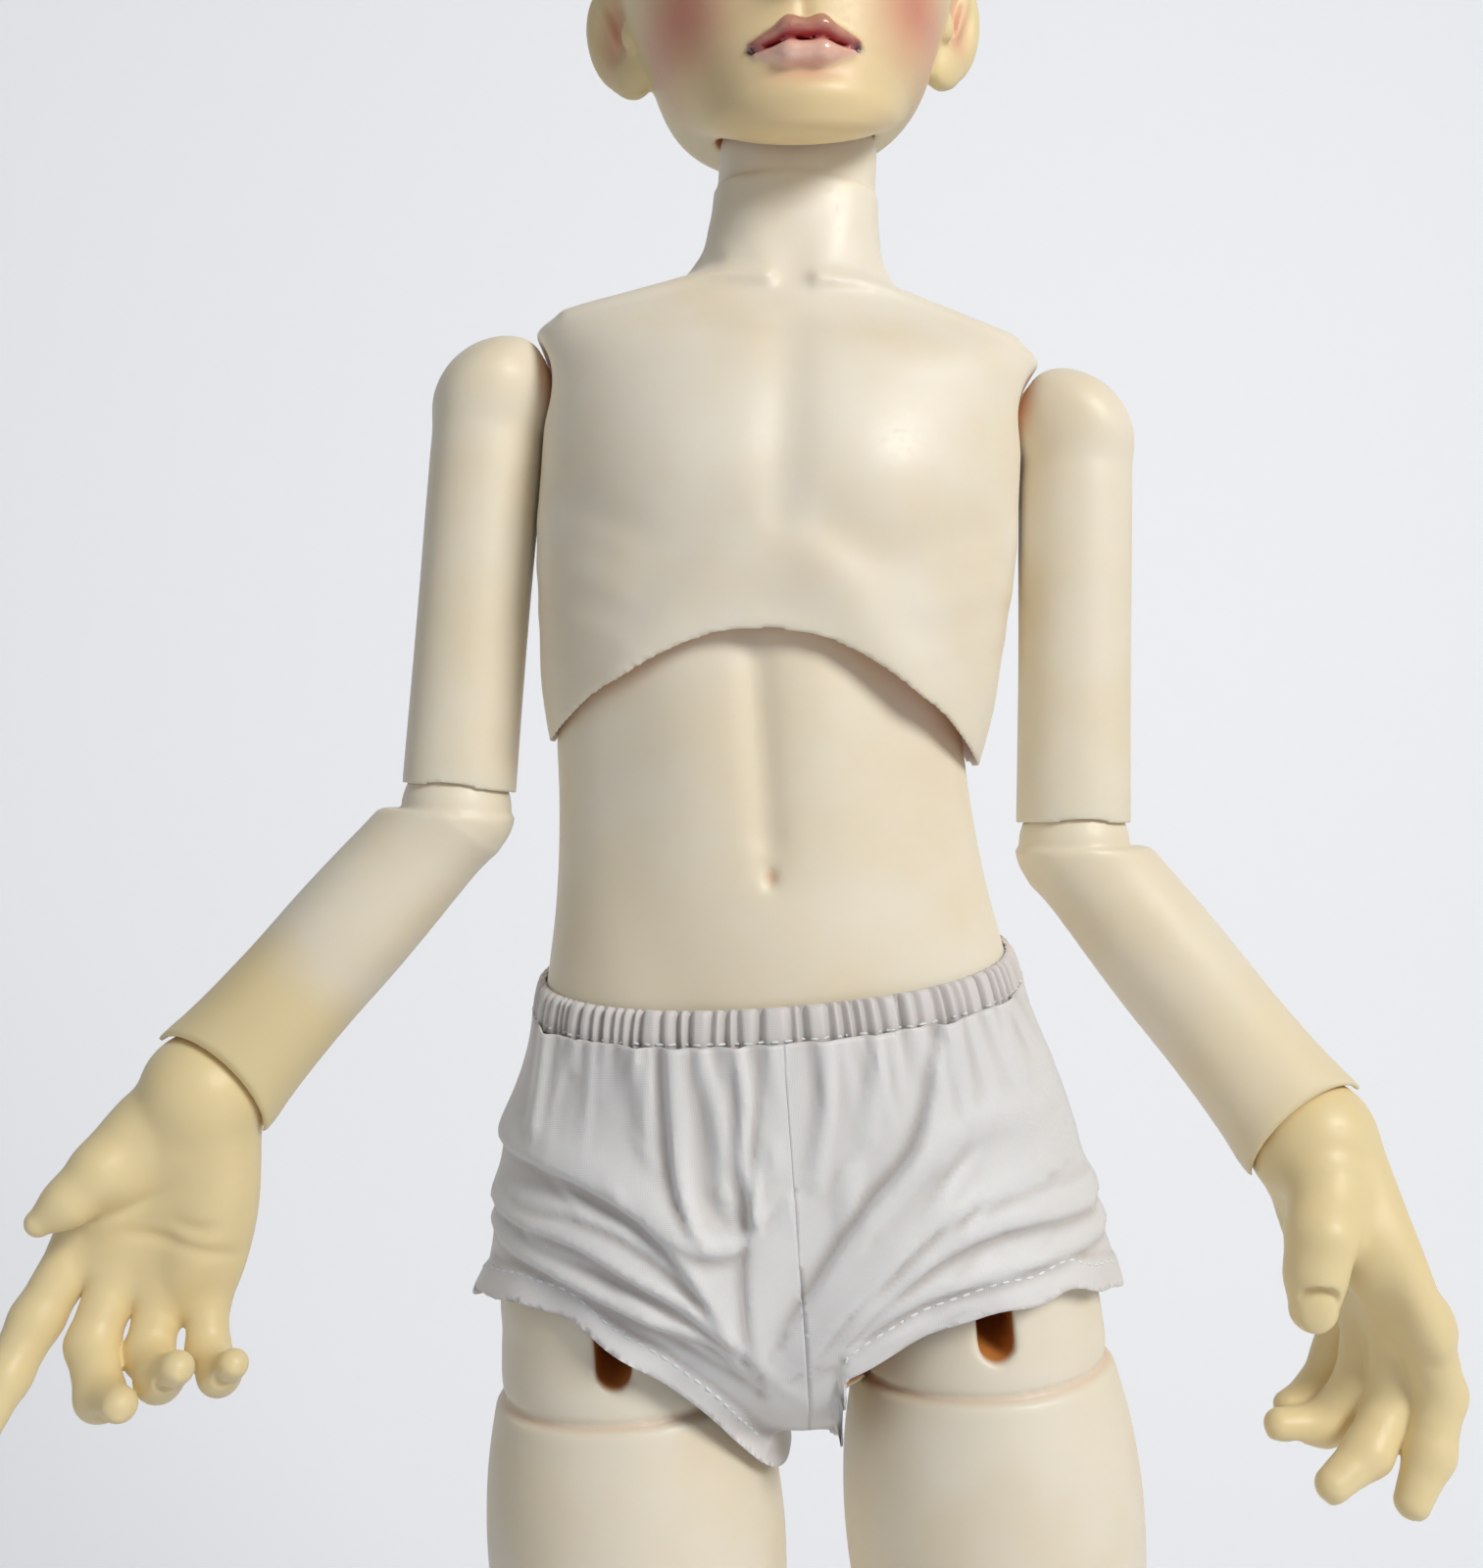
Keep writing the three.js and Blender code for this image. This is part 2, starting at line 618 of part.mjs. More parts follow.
// Cross pin through a ball that the hook hangs on
function pin(along, half, radius) {
  const end = along === "x" ? at(half, 0, 0) : at(0, half, 0);
  return rod(end.clone().negate(), end, radius, 8);
}

// Fingers are chains of three bones that curl towards the palm
function finger(base, lengths, curls, radius, spread) {
  const path = [base.clone()];
  let turn = 0;
  lengths.forEach((length, i) => {
    turn += rad(curls[i]);
    const step = at(Math.sin(rad(spread)) * length, -Math.sin(turn) * length, -Math.cos(turn) * length);
    path.push(path[path.length - 1].clone().add(step));
  });
  return solid(limb(path, [radius * 1.06, radius, radius * 0.94, radius * 0.8], 6));
}

const curls = {
  right: [[4, 10, 8], [42, 38, 26], [50, 56, 36], [46, 58, 38]],
  left: [[14, 18, 14], [32, 24, 14], [50, 25, 10], [36, 44, 38]],
};
const spreads = {
  right: [6, -19, -25, -32],
  left: [2, 0, -2, -4],
};
const knuckles = [
  { x: 13.4, length: 32, radius: 4.3 },
  { x: 4.6, length: 36, radius: 4.5 },
  { x: -4.6, length: 33.5, radius: 4.3 },
  { x: -12.8, length: 27, radius: 3.8 },
];
const thumbs = {
  right: [at(9, -2, -11), at(16.5, -6.5, -18), at(20.5, -9.5, -24), at(22, -11, -28)],
  left: [at(9, -3, -11), at(14.5, -9, -16), at(15, -14.5, -21.5), at(14.2, -18, -26)],
};
const palmRows = [
  [-46, 15, 3.4, 4],
  [-43, 17.6, 5, 5.4],
  [-36, 18.4, 6, 6.4],
  [-27, 17.6, 6.8, 7.2],
  [-18, 15.2, 7.6, 8.2],
  [-11, 12.6, 8.6, 9],
  [-6, 9.4, 8.4, 8.4],
];

function hand(side, name) {
  const palm = solid(loft(palmRows, { sides: 12, square: 2.5 }));
  const rows = knuckles.map((k, i) => finger(
    at(side * k.x, 0.4, -41),
    [k.length * 0.45, k.length * 0.31, k.length * 0.24],
    curls[name][i],
    k.radius,
    side * spreads[name][i],
  ));
  const thumb = solid(limb(thumbs[name].map((p) => at(side * p.x, p.y, p.z)), [6.6, 5.8, 5, 4.2], 8));
  return cut(
    join(solid(ball(wristBall)), palm, thumb, ...rows),
    solid(ball(4.2, at(0, 0, 0), 10)),
    solid(pie(-62, 62, 20, 4, pinAlong[name])),
    solid(pin(pinAlong[name], pinHalf + 0.5, wireRadius + fitGap)),
  );
}

// Arms
const armRows = [
  [-upperArmLength + elbowRim, 11.6, 11, 11],
  ...between(-upperArmLength, 0, [
    [0.245, 11.4, 11, 11],
    [0.49, 11.3, 11.2, 11.2],
    [0.73, 11.4, 11.8, 11.8],
  ]),
  [-9, 11.2, 12, 12],
  [-3, 10, 11, 11],
  [2, 7, 8, 8],
];
const forearmRows = [
  [-forearmLength + wristRim, 14, 13.6, 13.6],
  ...between(-forearmLength, 0, [
    [0.135, 13.4, 12.6, 12.6],
    [0.35, 12.6, 11.8, 11.8],
    [0.595, 12.5, 11.8, 11.8],
    [0.8, 11.4, 10.8, 10.8],
  ]),
  [-8, 10.2, 9.8, 9.8],
  [-4, 8, 8, 8],
];
function arm(side) {
  const name = side > 0 ? "left" : "right";
  const frame = group(chest, `arm_${name}`, shoulderPivot(side), [0, -side * armSpread[name], 0]);
  const elbow = at(0, 0, -upperArmLength);
  const scoop = ball(elbowBall - 2, at(0, -elbowBall + 1, -upperArmLength), 10);
  const slotFrom = side > 0 ? -112 : -16;
  const slotTo = side > 0 ? 16 : 112;
  const upperArm = cut(
    join(solid(ball(shoulderBall)), solid(loft(armRows))),
    hollow(elbowBall, elbow),
    solid(scoop),
    solid(rod(at(0, 0, 0), elbow, 4, 10)),
    solid(ball(4.6, at(0, 0, 0), 10)),
    solid(pie(slotFrom, slotTo, 20, 5)),
  );
  add(frame, `upper_arm_${name}`, upperArm, resin);
  const inner = -side * (shoulderBall + 3.4);
  const swing = group(chest, `swing_${name}`, shoulderPivot(side));
  add(swing, `shoulder_elastic_${name}`, rod(at(inner, 0, 0), at(0, 0, 0), cordRadius), elastic);
  add(frame, `upper_arm_elastic_${name}`,
    rod(at(0, 0, -4), at(0, 0, -upperArmLength + elbowBall + 1.4), cordRadius), elastic);
  const twist = group(frame, `elbow_twist_${name}`, elbow);
  add(twist, `elbow_elastic_${name}`, rod(at(0, 0, elbowBall + 1), at(0, 0, 0), cordRadius), elastic);

  const lowerFrame = group(frame, `forearm_${name}`, elbow, [0, -side * elbowTilt[name], 0]);
  const wrist = at(0, 0, -forearmLength);
  const elbowSlot = side > 0 ? pie(-34, 66, 20, 5) : pie(-66, 34, 20, 5);
  const forearm = cut(
    join(solid(ball(elbowBall)), solid(loft(forearmRows))),
    hollow(wristBall, wrist),
    solid(rod(at(0, 0, 6), wrist, 4.6, 10)),
    solid(elbowSlot),
  );
  add(lowerFrame, `forearm_${name}`, forearm, resin);
  add(lowerFrame, `forearm_elastic_${name}`,
    rod(at(0, 0, -4.5), at(0, 0, -forearmLength + hookTop + cordGap), cordRadius), elastic);
  const palmFrame = group(
    lowerFrame, `hand_${name}`, wrist, [0, side * handTilt[name], -side * handTwist[name]],
  );
  const hookTurn = pinAlong[name] === "x" ? 0 : 90;
  const hookFrame = group(lowerFrame, `hook_${name}`, wrist, [0, 0, hookTurn - side * handTwist[name]]);
  add(hookFrame, `wrist_hook_${name}`, hook(), steel);
  add(palmFrame, `hand_${name}`, hand(side, name), resin);
  add(palmFrame, `wrist_pin_${name}`, pin(pinAlong[name], pinHalf, wireRadius), steel);
}

// Legs
const cordHip = 34;
const bulbFoot = -16;
const thighRows = [
  [-thighLength + kneeRim, 19.6, 20.6, 20.6],
  ...between(-thighLength, 0, [
    [0.075, 20, 21.4, 21.6],
    [0.175, 21.6, 22.8, 23.4],
    [0.345, 25, 26, 27],
    [0.55, 28.4, 29.6, 29.6],
    [0.7375, 29.8, 30, 30.4],
  ]),
  [-30, 28.6, 28.4, 28.8],
  [-21, 26.8, 26.2, 26.6],
  [bulbFoot, hipBall + 1.6, hipBall + 1.2, hipBall + 1.4],
];
// The ball runs down into the thigh as a round bulb, with a step where the thigh begins
const bulbRows = [
  [bulbFoot - 6, hipBall - 2, hipBall - 2, hipBall - 2],
  [bulbFoot, hipBall + 0.4, hipBall + 0.4, hipBall + 0.4],
  [bulbFoot / 2, hipBall + 0.4, hipBall + 0.4, hipBall + 0.4],
  [-1, hipBall - 0.4, hipBall - 0.4, hipBall - 0.4],
];
const shinRows = [
  [-shinLength + ankleRim, 13.4, 13.4, 13.8],
  ...between(-shinLength, 0, [
    [0.137, 12.6, 12.8, 13.4],
    [0.37, 15, 14.6, 17],
    [0.59, 18.6, 17, 22.4],
    [0.74, 19.4, 18, 24],
    [0.877, 18, 17.8, 20],
  ]),
  [-9, 16.8, 16.6, 17],
  [-5, 13.5, 13.5, 13.5],
];
// Distance ahead of the ankle, half width, depth under and height over the middle line
const footRows = [
  [-24.5, 5, 4, 8],
  [-21, 9.6, 8, 18],
  [-14, 12.2, 9, ankleHeight - 9],
  [-2, 12.4, 9, ankleHeight - 5],
  [12, 12.8, 9, ankleHeight - 11],
  [28, 14.4, 9, 17],
  [44, 15.2, 9, 11],
  [56, 13.5, 8, 7],
  [62, 9, 6, 3],
];
const toes = [
  { x: -9.6, out: 60, radius: 5 },
  { x: -2.6, out: 63, radius: 3.6 },
  { x: 3.2, out: 61.5, radius: 3.4 },
  { x: 8.4, out: 58, radius: 3.2 },
  { x: 12.8, out: 53, radius: 3 },
];

function foot(side) {
  const body = loft(footRows, { sides: 10, square: 2.3 });
  body.rotateX(Math.PI / 2).translate(0, 0, -ankleHeight + 8);
  const rowsOfToes = toes.map((toe) => solid(limb(
    [at(side * toe.x, -40, -ankleHeight + 8), at(side * toe.x, -52, -ankleHeight + 5.4),
      at(side * toe.x, -toe.out, -ankleHeight + 3.4)],
    [toe.radius, toe.radius, toe.radius * 0.95],
    6,
  )));
  const floor = box(at(-40, -90, -ankleHeight - 30), at(40, 60, -ankleHeight));
  return cut(
    join(solid(ball(ankleBall)), solid(body), ...rowsOfToes),
    solid(floor),
    solid(ball(4.2, at(0, 0, 0), 10)),
    solid(pie(-60, 60, 20, 4, "x")),
    solid(pin("x", pinHalf + 0.5, wireRadius + fitGap)),
  );
}

function leg(side) {
  const name = side > 0 ? "left" : "right";
  const frame = group(lower, `thigh_${name}`, hipPivot(side));
  const knee = at(0, 0, -thighLength);
  const thighForm = join(
    solid(ball(hipBall, at(0, 0, 0), 16)),
    solid(loft(bulbRows, { sides: 16 })),
    solid(loft(thighRows, { sides: 14 })),
  );
  const kneeBack = pie(28, 90, 60, 80, "x").translate(0, 4, -thighLength);
  const thigh = cut(
    thighForm,
    hollow(kneeBall, knee, 16),
    solid(kneeBack),
    solid(rod(at(0, 0, -20), knee, 9, 14)),
    solid(rod(at(0, 0, 9), at(0, 0, -30), 4.2, 10)),
    solid(pie(-105, 12, 40, 5.6, "x")),
  );
  add(frame, `thigh_${name}`, thigh, resin);
  add(frame, `hip_elastic_${name}`, rod(at(0, 0, 7), at(0, 0, -cordHip), cordRadius), elastic);
  add(frame, `thigh_elastic_${name}`,
    rod(at(0, 0, -cordHip - cordGap), at(0, 0, -thighLength), cordRadius), elastic);

  const shinFrame = group(frame, `shin_${name}`, knee);
  const ankle = at(0, 0, -shinLength);
  const shinBack = cut(
    solid(pie(88, 144, 50, 80, "x").translate(0, 3, 0)),
    solid(ball(kneeBall, at(0, 0, 0), 16)),
  );
  const shinForm = join(
    cut(solid(loft(shinRows, { sides: 14 })), shinBack),
    solid(ball(kneeBall, at(0, 0, 0), 16)),
  );
  const shin = cut(
    shinForm,
    hollow(ankleBall, ankle),
    solid(rod(at(0, 0, 7), ankle, 5.4, 10)),
    solid(pie(-14, 106, 30, 5.6, "x")),
  );
  add(shinFrame, `shin_${name}`, shin, resin);
  add(shinFrame, `shin_elastic_${name}`,
    rod(at(0, 0, -4.5), at(0, 0, -shinLength + hookTop + cordGap), cordRadius), elastic);
  const footFrame = group(shinFrame, `foot_${name}`, ankle);
  add(footFrame, `ankle_hook_${name}`, hook(), steel);
  add(footFrame, `foot_${name}`, foot(side), resin);
  add(footFrame, `ankle_pin_${name}`, pin("x", pinHalf, wireRadius), steel);
}

for (const side of [-1, 1]) {
  arm(side);
  leg(side);
}

// Middle of the floor outline becomes the origin
doll.updateMatrixWorld(true);
const bounds = new THREE.Box3().setFromObject(doll, true);
doll.position.set(-(bounds.min.x + bounds.max.x) / 2, -(bounds.min.y + bounds.max.y) / 2, -bounds.min.z);

export default doll;
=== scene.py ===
"""Looks of a strung resin doll in cotton shorts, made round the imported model.

Lengths are millimetres of the doll's own frame (floor under the waist, front towards -Y, the doll's
left towards +X) until a mesh is placed, and metres of the frame after that.
"""
import functools
import json
import math

import bpy
import numpy as np
import openvdb
from mathutils import Matrix, Vector


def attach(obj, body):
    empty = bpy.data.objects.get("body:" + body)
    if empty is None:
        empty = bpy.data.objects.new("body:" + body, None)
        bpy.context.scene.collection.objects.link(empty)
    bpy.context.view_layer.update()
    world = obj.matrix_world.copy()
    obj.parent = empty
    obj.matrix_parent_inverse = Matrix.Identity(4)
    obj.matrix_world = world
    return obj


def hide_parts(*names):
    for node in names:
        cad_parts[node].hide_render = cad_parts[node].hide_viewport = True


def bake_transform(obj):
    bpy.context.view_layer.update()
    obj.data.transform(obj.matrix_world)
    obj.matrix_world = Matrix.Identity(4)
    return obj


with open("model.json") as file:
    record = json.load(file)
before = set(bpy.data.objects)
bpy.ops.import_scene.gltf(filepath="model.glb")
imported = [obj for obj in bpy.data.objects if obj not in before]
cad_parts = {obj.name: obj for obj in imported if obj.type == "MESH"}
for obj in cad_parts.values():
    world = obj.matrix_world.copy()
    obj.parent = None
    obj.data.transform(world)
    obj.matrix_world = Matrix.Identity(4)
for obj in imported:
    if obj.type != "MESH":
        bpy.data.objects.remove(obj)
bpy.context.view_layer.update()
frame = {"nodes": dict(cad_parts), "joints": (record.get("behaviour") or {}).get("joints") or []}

MM = 0.001
COARSE = 1.0

# Pivots of the doll's own frame
WAIST = Vector((0, 0, 443.4))
NECK = Vector((0, 3, 564))
SHOULDER_SPREAD = 59.2
SHOULDER_HEIGHT = 519.5
HIP_SPREAD = 36
HIP_HEIGHT = 342
UPPER_ARM = 84.8
FOREARM = 76.8
THIGH = 160
SHIN = 146
ANKLE_HEIGHT = 36

# Pose of the photographed arms and head, degrees
WAIST_LEAN = 7.4
HEAD_ROLL = -5.8
HEAD_TURN = 2
ARM_SPREAD = {"right": 1.5, "left": 3}
ELBOW_TILT = {"right": 36.7, "left": 39}
HAND_TILT = {"right": 22, "left": 16}
HAND_TWIST = {"right": 0, "left": 78}

# Ball radii, the gap in the sockets and the rounding of their rims
WAIST_BALL = 42.6
SHOULDER_BALL = 13
ELBOW_BALL = 11
WRIST_BALL = 12.9
HIP_BALL = 24
KNEE_BALL = 16
ANKLE_BALL = 11
NECK_BALL = 18.8
NECK_RADIUS = 16
GAP = 0.35
RIM = 1.1

SIDES = {"left": 1, "right": -1}


def joint_place(name):
    """Pivot of a joint in the frame, in metres."""
    found = [j for j in frame["joints"] if j["name"] == name][0]
    return Vector(found["pos_m"])


def turned(x=0.0, y=0.0, z=0.0):
    """Turn about X, Y and Z in degrees, the last one first."""
    turn = Matrix.Rotation(math.radians(x), 4, "X")
    turn = turn @ Matrix.Rotation(math.radians(y), 4, "Y")
    return turn @ Matrix.Rotation(math.radians(z), 4, "Z")


def moved(x, y, z):
    return Matrix.Translation(Vector((x, y, z)))


# Frames of the pieces, from their own millimetres to the doll's
OFFSET = joint_place("waist_lean") / MM - WAIST
DOLL = Matrix.Scale(MM, 4) @ Matrix.Translation(OFFSET)
CHEST = Matrix.Translation(WAIST) @ turned(y=WAIST_LEAN) @ Matrix.Translation(-WAIST)
HEAD = CHEST @ Matrix.Translation(NECK) @ turned(y=HEAD_ROLL, z=HEAD_TURN)


def arm_frame(side):
    place = CHEST @ moved(SIDES[side] * SHOULDER_SPREAD, 0, SHOULDER_HEIGHT)
    return place @ turned(y=-SIDES[side] * ARM_SPREAD[side])


def forearm_frame(side):
    return arm_frame(side) @ moved(0, 0, -UPPER_ARM) @ turned(y=-SIDES[side] * ELBOW_TILT[side])


def hand_frame(side):
    turn = turned(y=SIDES[side] * HAND_TILT[side], z=-SIDES[side] * HAND_TWIST[side])
    return forearm_frame(side) @ moved(0, 0, -FOREARM) @ turn


def thigh_frame(side):
    return moved(SIDES[side] * HIP_SPREAD, 0, HIP_HEIGHT)


def shin_frame(side):
    return thigh_frame(side) @ moved(0, 0, -THIGH)


def foot_frame(side):
    return shin_frame(side) @ moved(0, 0, -SHIN)


# Sculpting with distance fields on a block of points

def smooth_join(a, b, blend):
    mix = np.clip(0.5 + 0.5 * (b - a) / blend, 0, 1)
    return b + (a - b) * mix - blend * mix * (1 - mix)


def smooth_cut(a, b, blend):
    """Takes b out of a, with an edge rounded by about the blend."""
    return -smooth_join(-a, b, blend)


def smooth_both(a, b, blend):
    """What a and b share, with an edge rounded by about the blend."""
    return -smooth_join(-a, -b, blend)


def join_all(fields, blend):
    return functools.reduce(lambda a, b: smooth_join(a, b, blend), fields)


def section(x, y, wide, front, back, square):
    """Rough distance from a rounded section with its own depth in front and behind."""
    u = np.abs(x / wide) + 1e-4
    v = np.abs(np.where(y < 0, y / front, y / back)) + 1e-4
    ring = (u ** square + v ** square) ** (1 / square)
    reach = np.sqrt(x ** 2 + y ** 2) + 1e-3
    return reach - reach / ring


def smooth_step(low, high, value):
    t = np.clip((value - low) / (high - low), 0, 1)
    return t * t * (3 - 2 * t)


def hermite(at, values, where):
    """Smooth curve through values, level past its ends."""
    slope = np.gradient(values, at)
    place = np.clip(where, at[0], at[-1])
    k = np.clip(np.searchsorted(at, place) - 1, 0, len(at) - 2)
    width = at[k + 1] - at[k]
    t = (place - at[k]) / width
    low = values[k] * (1 + 2 * t) + width * slope[k] * t
    high = values[k + 1] * (3 - 2 * t) - width * slope[k + 1] * (1 - t)
    return low * (1 - t) ** 2 + high * t * t


def smooth_line(points, steps=4):
    """Points along a smooth curve through points of any number of coordinates."""
    points = np.array(points, float)
    run = np.concatenate([[0], np.cumsum(np.linalg.norm(np.diff(points[:, :2], axis=0), axis=1))])
    where = np.interp(np.linspace(0, len(points) - 1, steps * (len(points) - 1) + 1), range(len(points)), run)
    return np.stack([hermite(run, points[:, c], where) for c in range(points.shape[1])], 1)


class Block:
    """Grid of points round one piece, with the distance fields of simple forms on it."""

    def __init__(self, low, high, step):
        self.step = step * COARSE
        self.low = np.array(low, np.float32)
        count = np.ceil((np.array(high) - self.low) / self.step).astype(int) + 1
        line = [self.low[i] + self.step * np.arange(count[i], dtype=np.float32) for i in range(3)]
        self.x, self.y, self.z = np.meshgrid(*line, indexing="ij", sparse=True)

    def ball(self, centre, radius):
        away = (self.x - centre[0]) ** 2 + (self.y - centre[1]) ** 2 + (self.z - centre[2]) ** 2
        return np.sqrt(away) - radius

    def egg(self, centre, radii, turn=None):
        """Ellipsoid, turned by a matrix."""
        p = [self.x - centre[0], self.y - centre[1], self.z - centre[2]]
        if turn is not None:
            back = np.array(turn.to_3x3().transposed())
            p = [back[i][0] * p[0] + back[i][1] * p[1] + back[i][2] * p[2] for i in range(3)]
        near = np.sqrt(sum((p[i] / radii[i]) ** 2 for i in range(3)))
        slope = np.sqrt(sum((p[i] / radii[i] ** 2) ** 2 for i in range(3)))
        return near * (near - 1) / np.maximum(slope, 1e-6)

    def bone(self, a, b, radius_a, radius_b=None):
        """Rounded bar from a to b, as thick at b as at a where no other radius is given."""
        radius_b = radius_a if radius_b is None else radius_b
        a = np.array(a, np.float32)
        way = np.array(b, np.float32) - a
        p = [self.x - a[0], self.y - a[1], self.z - a[2]]
        t = np.clip((p[0] * way[0] + p[1] * way[1] + p[2] * way[2]) / (way @ way), 0, 1)
        away = sum((p[i] - t * way[i]) ** 2 for i in range(3))
        return np.sqrt(away) - radius_a - t * (radius_b - radius_a)

    def chain(self, path, radii, blend=1.6):
        """Rounded bars from joint to joint."""
        ends = zip(path, path[1:], radii, radii[1:])
        return join_all((self.bone(*end) for end in ends), blend)

    def fan(self, centre, from_deg, to_deg, radius):
        """Room swept by a rod that turns about X; angles run from +Z towards +Y."""
        across = self.x - centre[0]
        y = self.y - centre[1]
        z = self.z - centre[2]
        middle = math.radians((from_deg + to_deg) / 2)
        half = math.radians((to_deg - from_deg) / 2)
        along = y * math.sin(middle) + z * math.cos(middle)
        aside = np.abs(y * math.cos(middle) - z * math.sin(middle))
        ahead = along * math.cos(half) + aside * math.sin(half)
        off = aside * math.cos(half) - along * math.sin(half)
        out = np.where(ahead > 0, np.maximum(off, 0), np.sqrt(along ** 2 + aside ** 2))
        return np.sqrt(across ** 2 + out ** 2) - radius

    def loft(self, rows, square=2.0, round_ends=0.0, middle_x=0.0):
        """Upright body through rows of height, half width, front depth, back depth and middle."""
        rows = np.array([list(r) + [0] * (5 - len(r)) for r in rows], np.float32)
        z = self.z.ravel()
        wide, front, back, middle = [
            hermite(rows[:, 0], rows[:, c], z)[None, None, :] for c in (1, 2, 3, 4)
        ]
        body = section(self.x - middle_x, self.y - middle, wide, front, back, square)
        ends = np.maximum(rows[0, 0] - self.z, self.z - rows[-1, 0])
        if round_ends:
            return smooth_both(body, ends + 0 * body, round_ends)
        return np.maximum(body, ends)

    def fold(self, points, soft, sharp):
        """Crest along points of x, z and height, seen along Y; steeper on the right of its run."""
        best = height = left = None
        line = smooth_line(points)
        for (ax, az, ah), (bx, bz, bh) in zip(line, line[1:]):
            wx, wz = bx - ax, bz - az
            px, pz = self.x - ax, self.z - az
            t = np.clip((px * wx + pz * wz) / (wx * wx + wz * wz), 0, 1)
            away = (px - t * wx) ** 2 + (pz - t * wz) ** 2
            tall = ah + t * (bh - ah)
            on_left = wx * pz - wz * px > 0
            if best is None:
                best, height, left = away, tall, on_left
            nearer = away < best
            best = np.where(nearer, away, best)
            height = np.where(nearer, tall, height)
            left = np.where(nearer, on_left, left)
        return height * np.exp(-best / np.where(left, soft, sharp) ** 2)

    def line(self, points, width):
        """Soft mark along points of the front, seen along Y: 1 on the line and 0 away from it."""
        return self.fold([(x, z, 1.0) for x, z in points], width, width)

    def spot(self, x, z, wide, tall):
        return np.exp(-((self.x - x) / wide) ** 2 - ((self.z - z) / tall) ** 2)

    def relief(self, body, share, rows, s=1):
        """Raises rows of marks out of a body, mirrored where s is -1.

        A row is a height, below zero for a furrow, with the points of a line and its width, or with the
        middle of a spot and its sizes.
        """
        for height, place, size in rows:
            if isinstance(size, tuple):
                mark = self.spot(s * place[0], place[1], *size)
            else:
                mark = self.line([(s * x, z) for x, z in place], size)
            body -= share * height * mark

    def facing(self, edge=0.0, soft=6.0):
        """1 on the front half and 0 on the back half."""
        return np.clip(0.5 - (self.y - edge) / (2 * soft), 0, 1)

    def sample(self, field, points):
        """Value of a field at points."""
        place = (points - self.low) / self.step
        base = np.clip(np.floor(place).astype(int), 0, np.array(field.shape) - 2)
        t = place - base
        total = 0
        for i in (0, 1):
            for j in (0, 1):
                for k in (0, 1):
                    share = np.abs(1 - i - t[:, 0]) * np.abs(1 - j - t[:, 1]) * np.abs(1 - k - t[:, 2])
                    total = total + share * field[base[:, 0] + i, base[:, 1] + j, base[:, 2] + k]
        return total

    def slope(self, field, points):
        """Direction in which a field grows at points."""
        steps = np.eye(3) * self.step
        rise = [self.sample(field, points + s) - self.sample(field, points - s) for s in steps]
        rise = np.stack(rise, 1)
        return rise / np.maximum(np.linalg.norm(rise, axis=1, keepdims=True), 1e-6)

    def surface(self, field):
        """Points and outward quads of the zero surface."""
        grid = openvdb.FloatGrid()
        grid.background = 1.0
        grid.copyFromArray(np.ascontiguousarray(field, np.float32))
        points, quads = grid.convertToQuads(isovalue=0.0)
        return points * self.step + self.low, quads


def outward(points, quads):
    """Quads of a closed mesh, turned to face out."""
    corners = points[quads]
    normals = np.cross(corners[:, 2] - corners[:, 0], corners[:, 3] - corners[:, 1])
    inside_out = (normals * (corners.mean(1) - points.mean(0))).sum() < 0
    return quads[:, ::-1] if inside_out else quads


def mesh_piece(name, points, faces, place=Matrix.Identity(4), values=None):
    """Smooth mesh object from points in millimetres, with named numbers on its points."""
    world = np.array(DOLL @ place)
    mesh = bpy.data.meshes.new(name)
    mesh.from_pydata(points @ world[:3, :3].T + world[:3, 3], [], faces)
    for key, numbers in (values or {}).items():
        mark = mesh.attributes.new(key, "FLOAT", "POINT")
        mark.data.foreach_set("value", np.asarray(numbers, np.float32))
    mesh.shade_smooth()
    piece = bpy.data.objects.new(name, mesh)
    bpy.context.collection.objects.link(piece)
    return piece


def cast(name, block, field, uncut, place, paint=None, mirror=False):
    """Mesh object of a sculpted piece, with painted shade in its cuts by their depth and its paint marked on
    it.
    """
    points, quads = block.surface(field)
    quads = outward(points, quads)
    # Painted shade: how deep a point lies inside the uncut body, for the darker orange-brown of sockets,
    # slots and gaps
    values = {"cut_shade": np.clip(-block.sample(uncut, points) / 3, 0, 1)}
    if paint:
        values.update(paint(points))
    if mirror:
        points = points * np.array((-1, 1, 1), np.float32)
        quads = quads[:, ::-1]
    return mesh_piece(name, points, quads, place, values)


def dress(piece, body, slot, material, *nodes):
    piece.data.materials.clear()
    piece.data.materials.append(material)
    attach(piece, body)
    if nodes:
        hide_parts(*nodes)
    return piece


def both_sides(part, block, field, uncut, place):
    """The same casting for the left and, mirrored, for the right."""
    for side in SIDES:
        name = f"{part}_casting_{side}"
        piece = cast(name, block, field, uncut, place(side), plain_yellow(part), side == "right")
        dress(piece, f"{part}_{side}", "body_resin", BODY, f"{part}_{side}")


# Materials

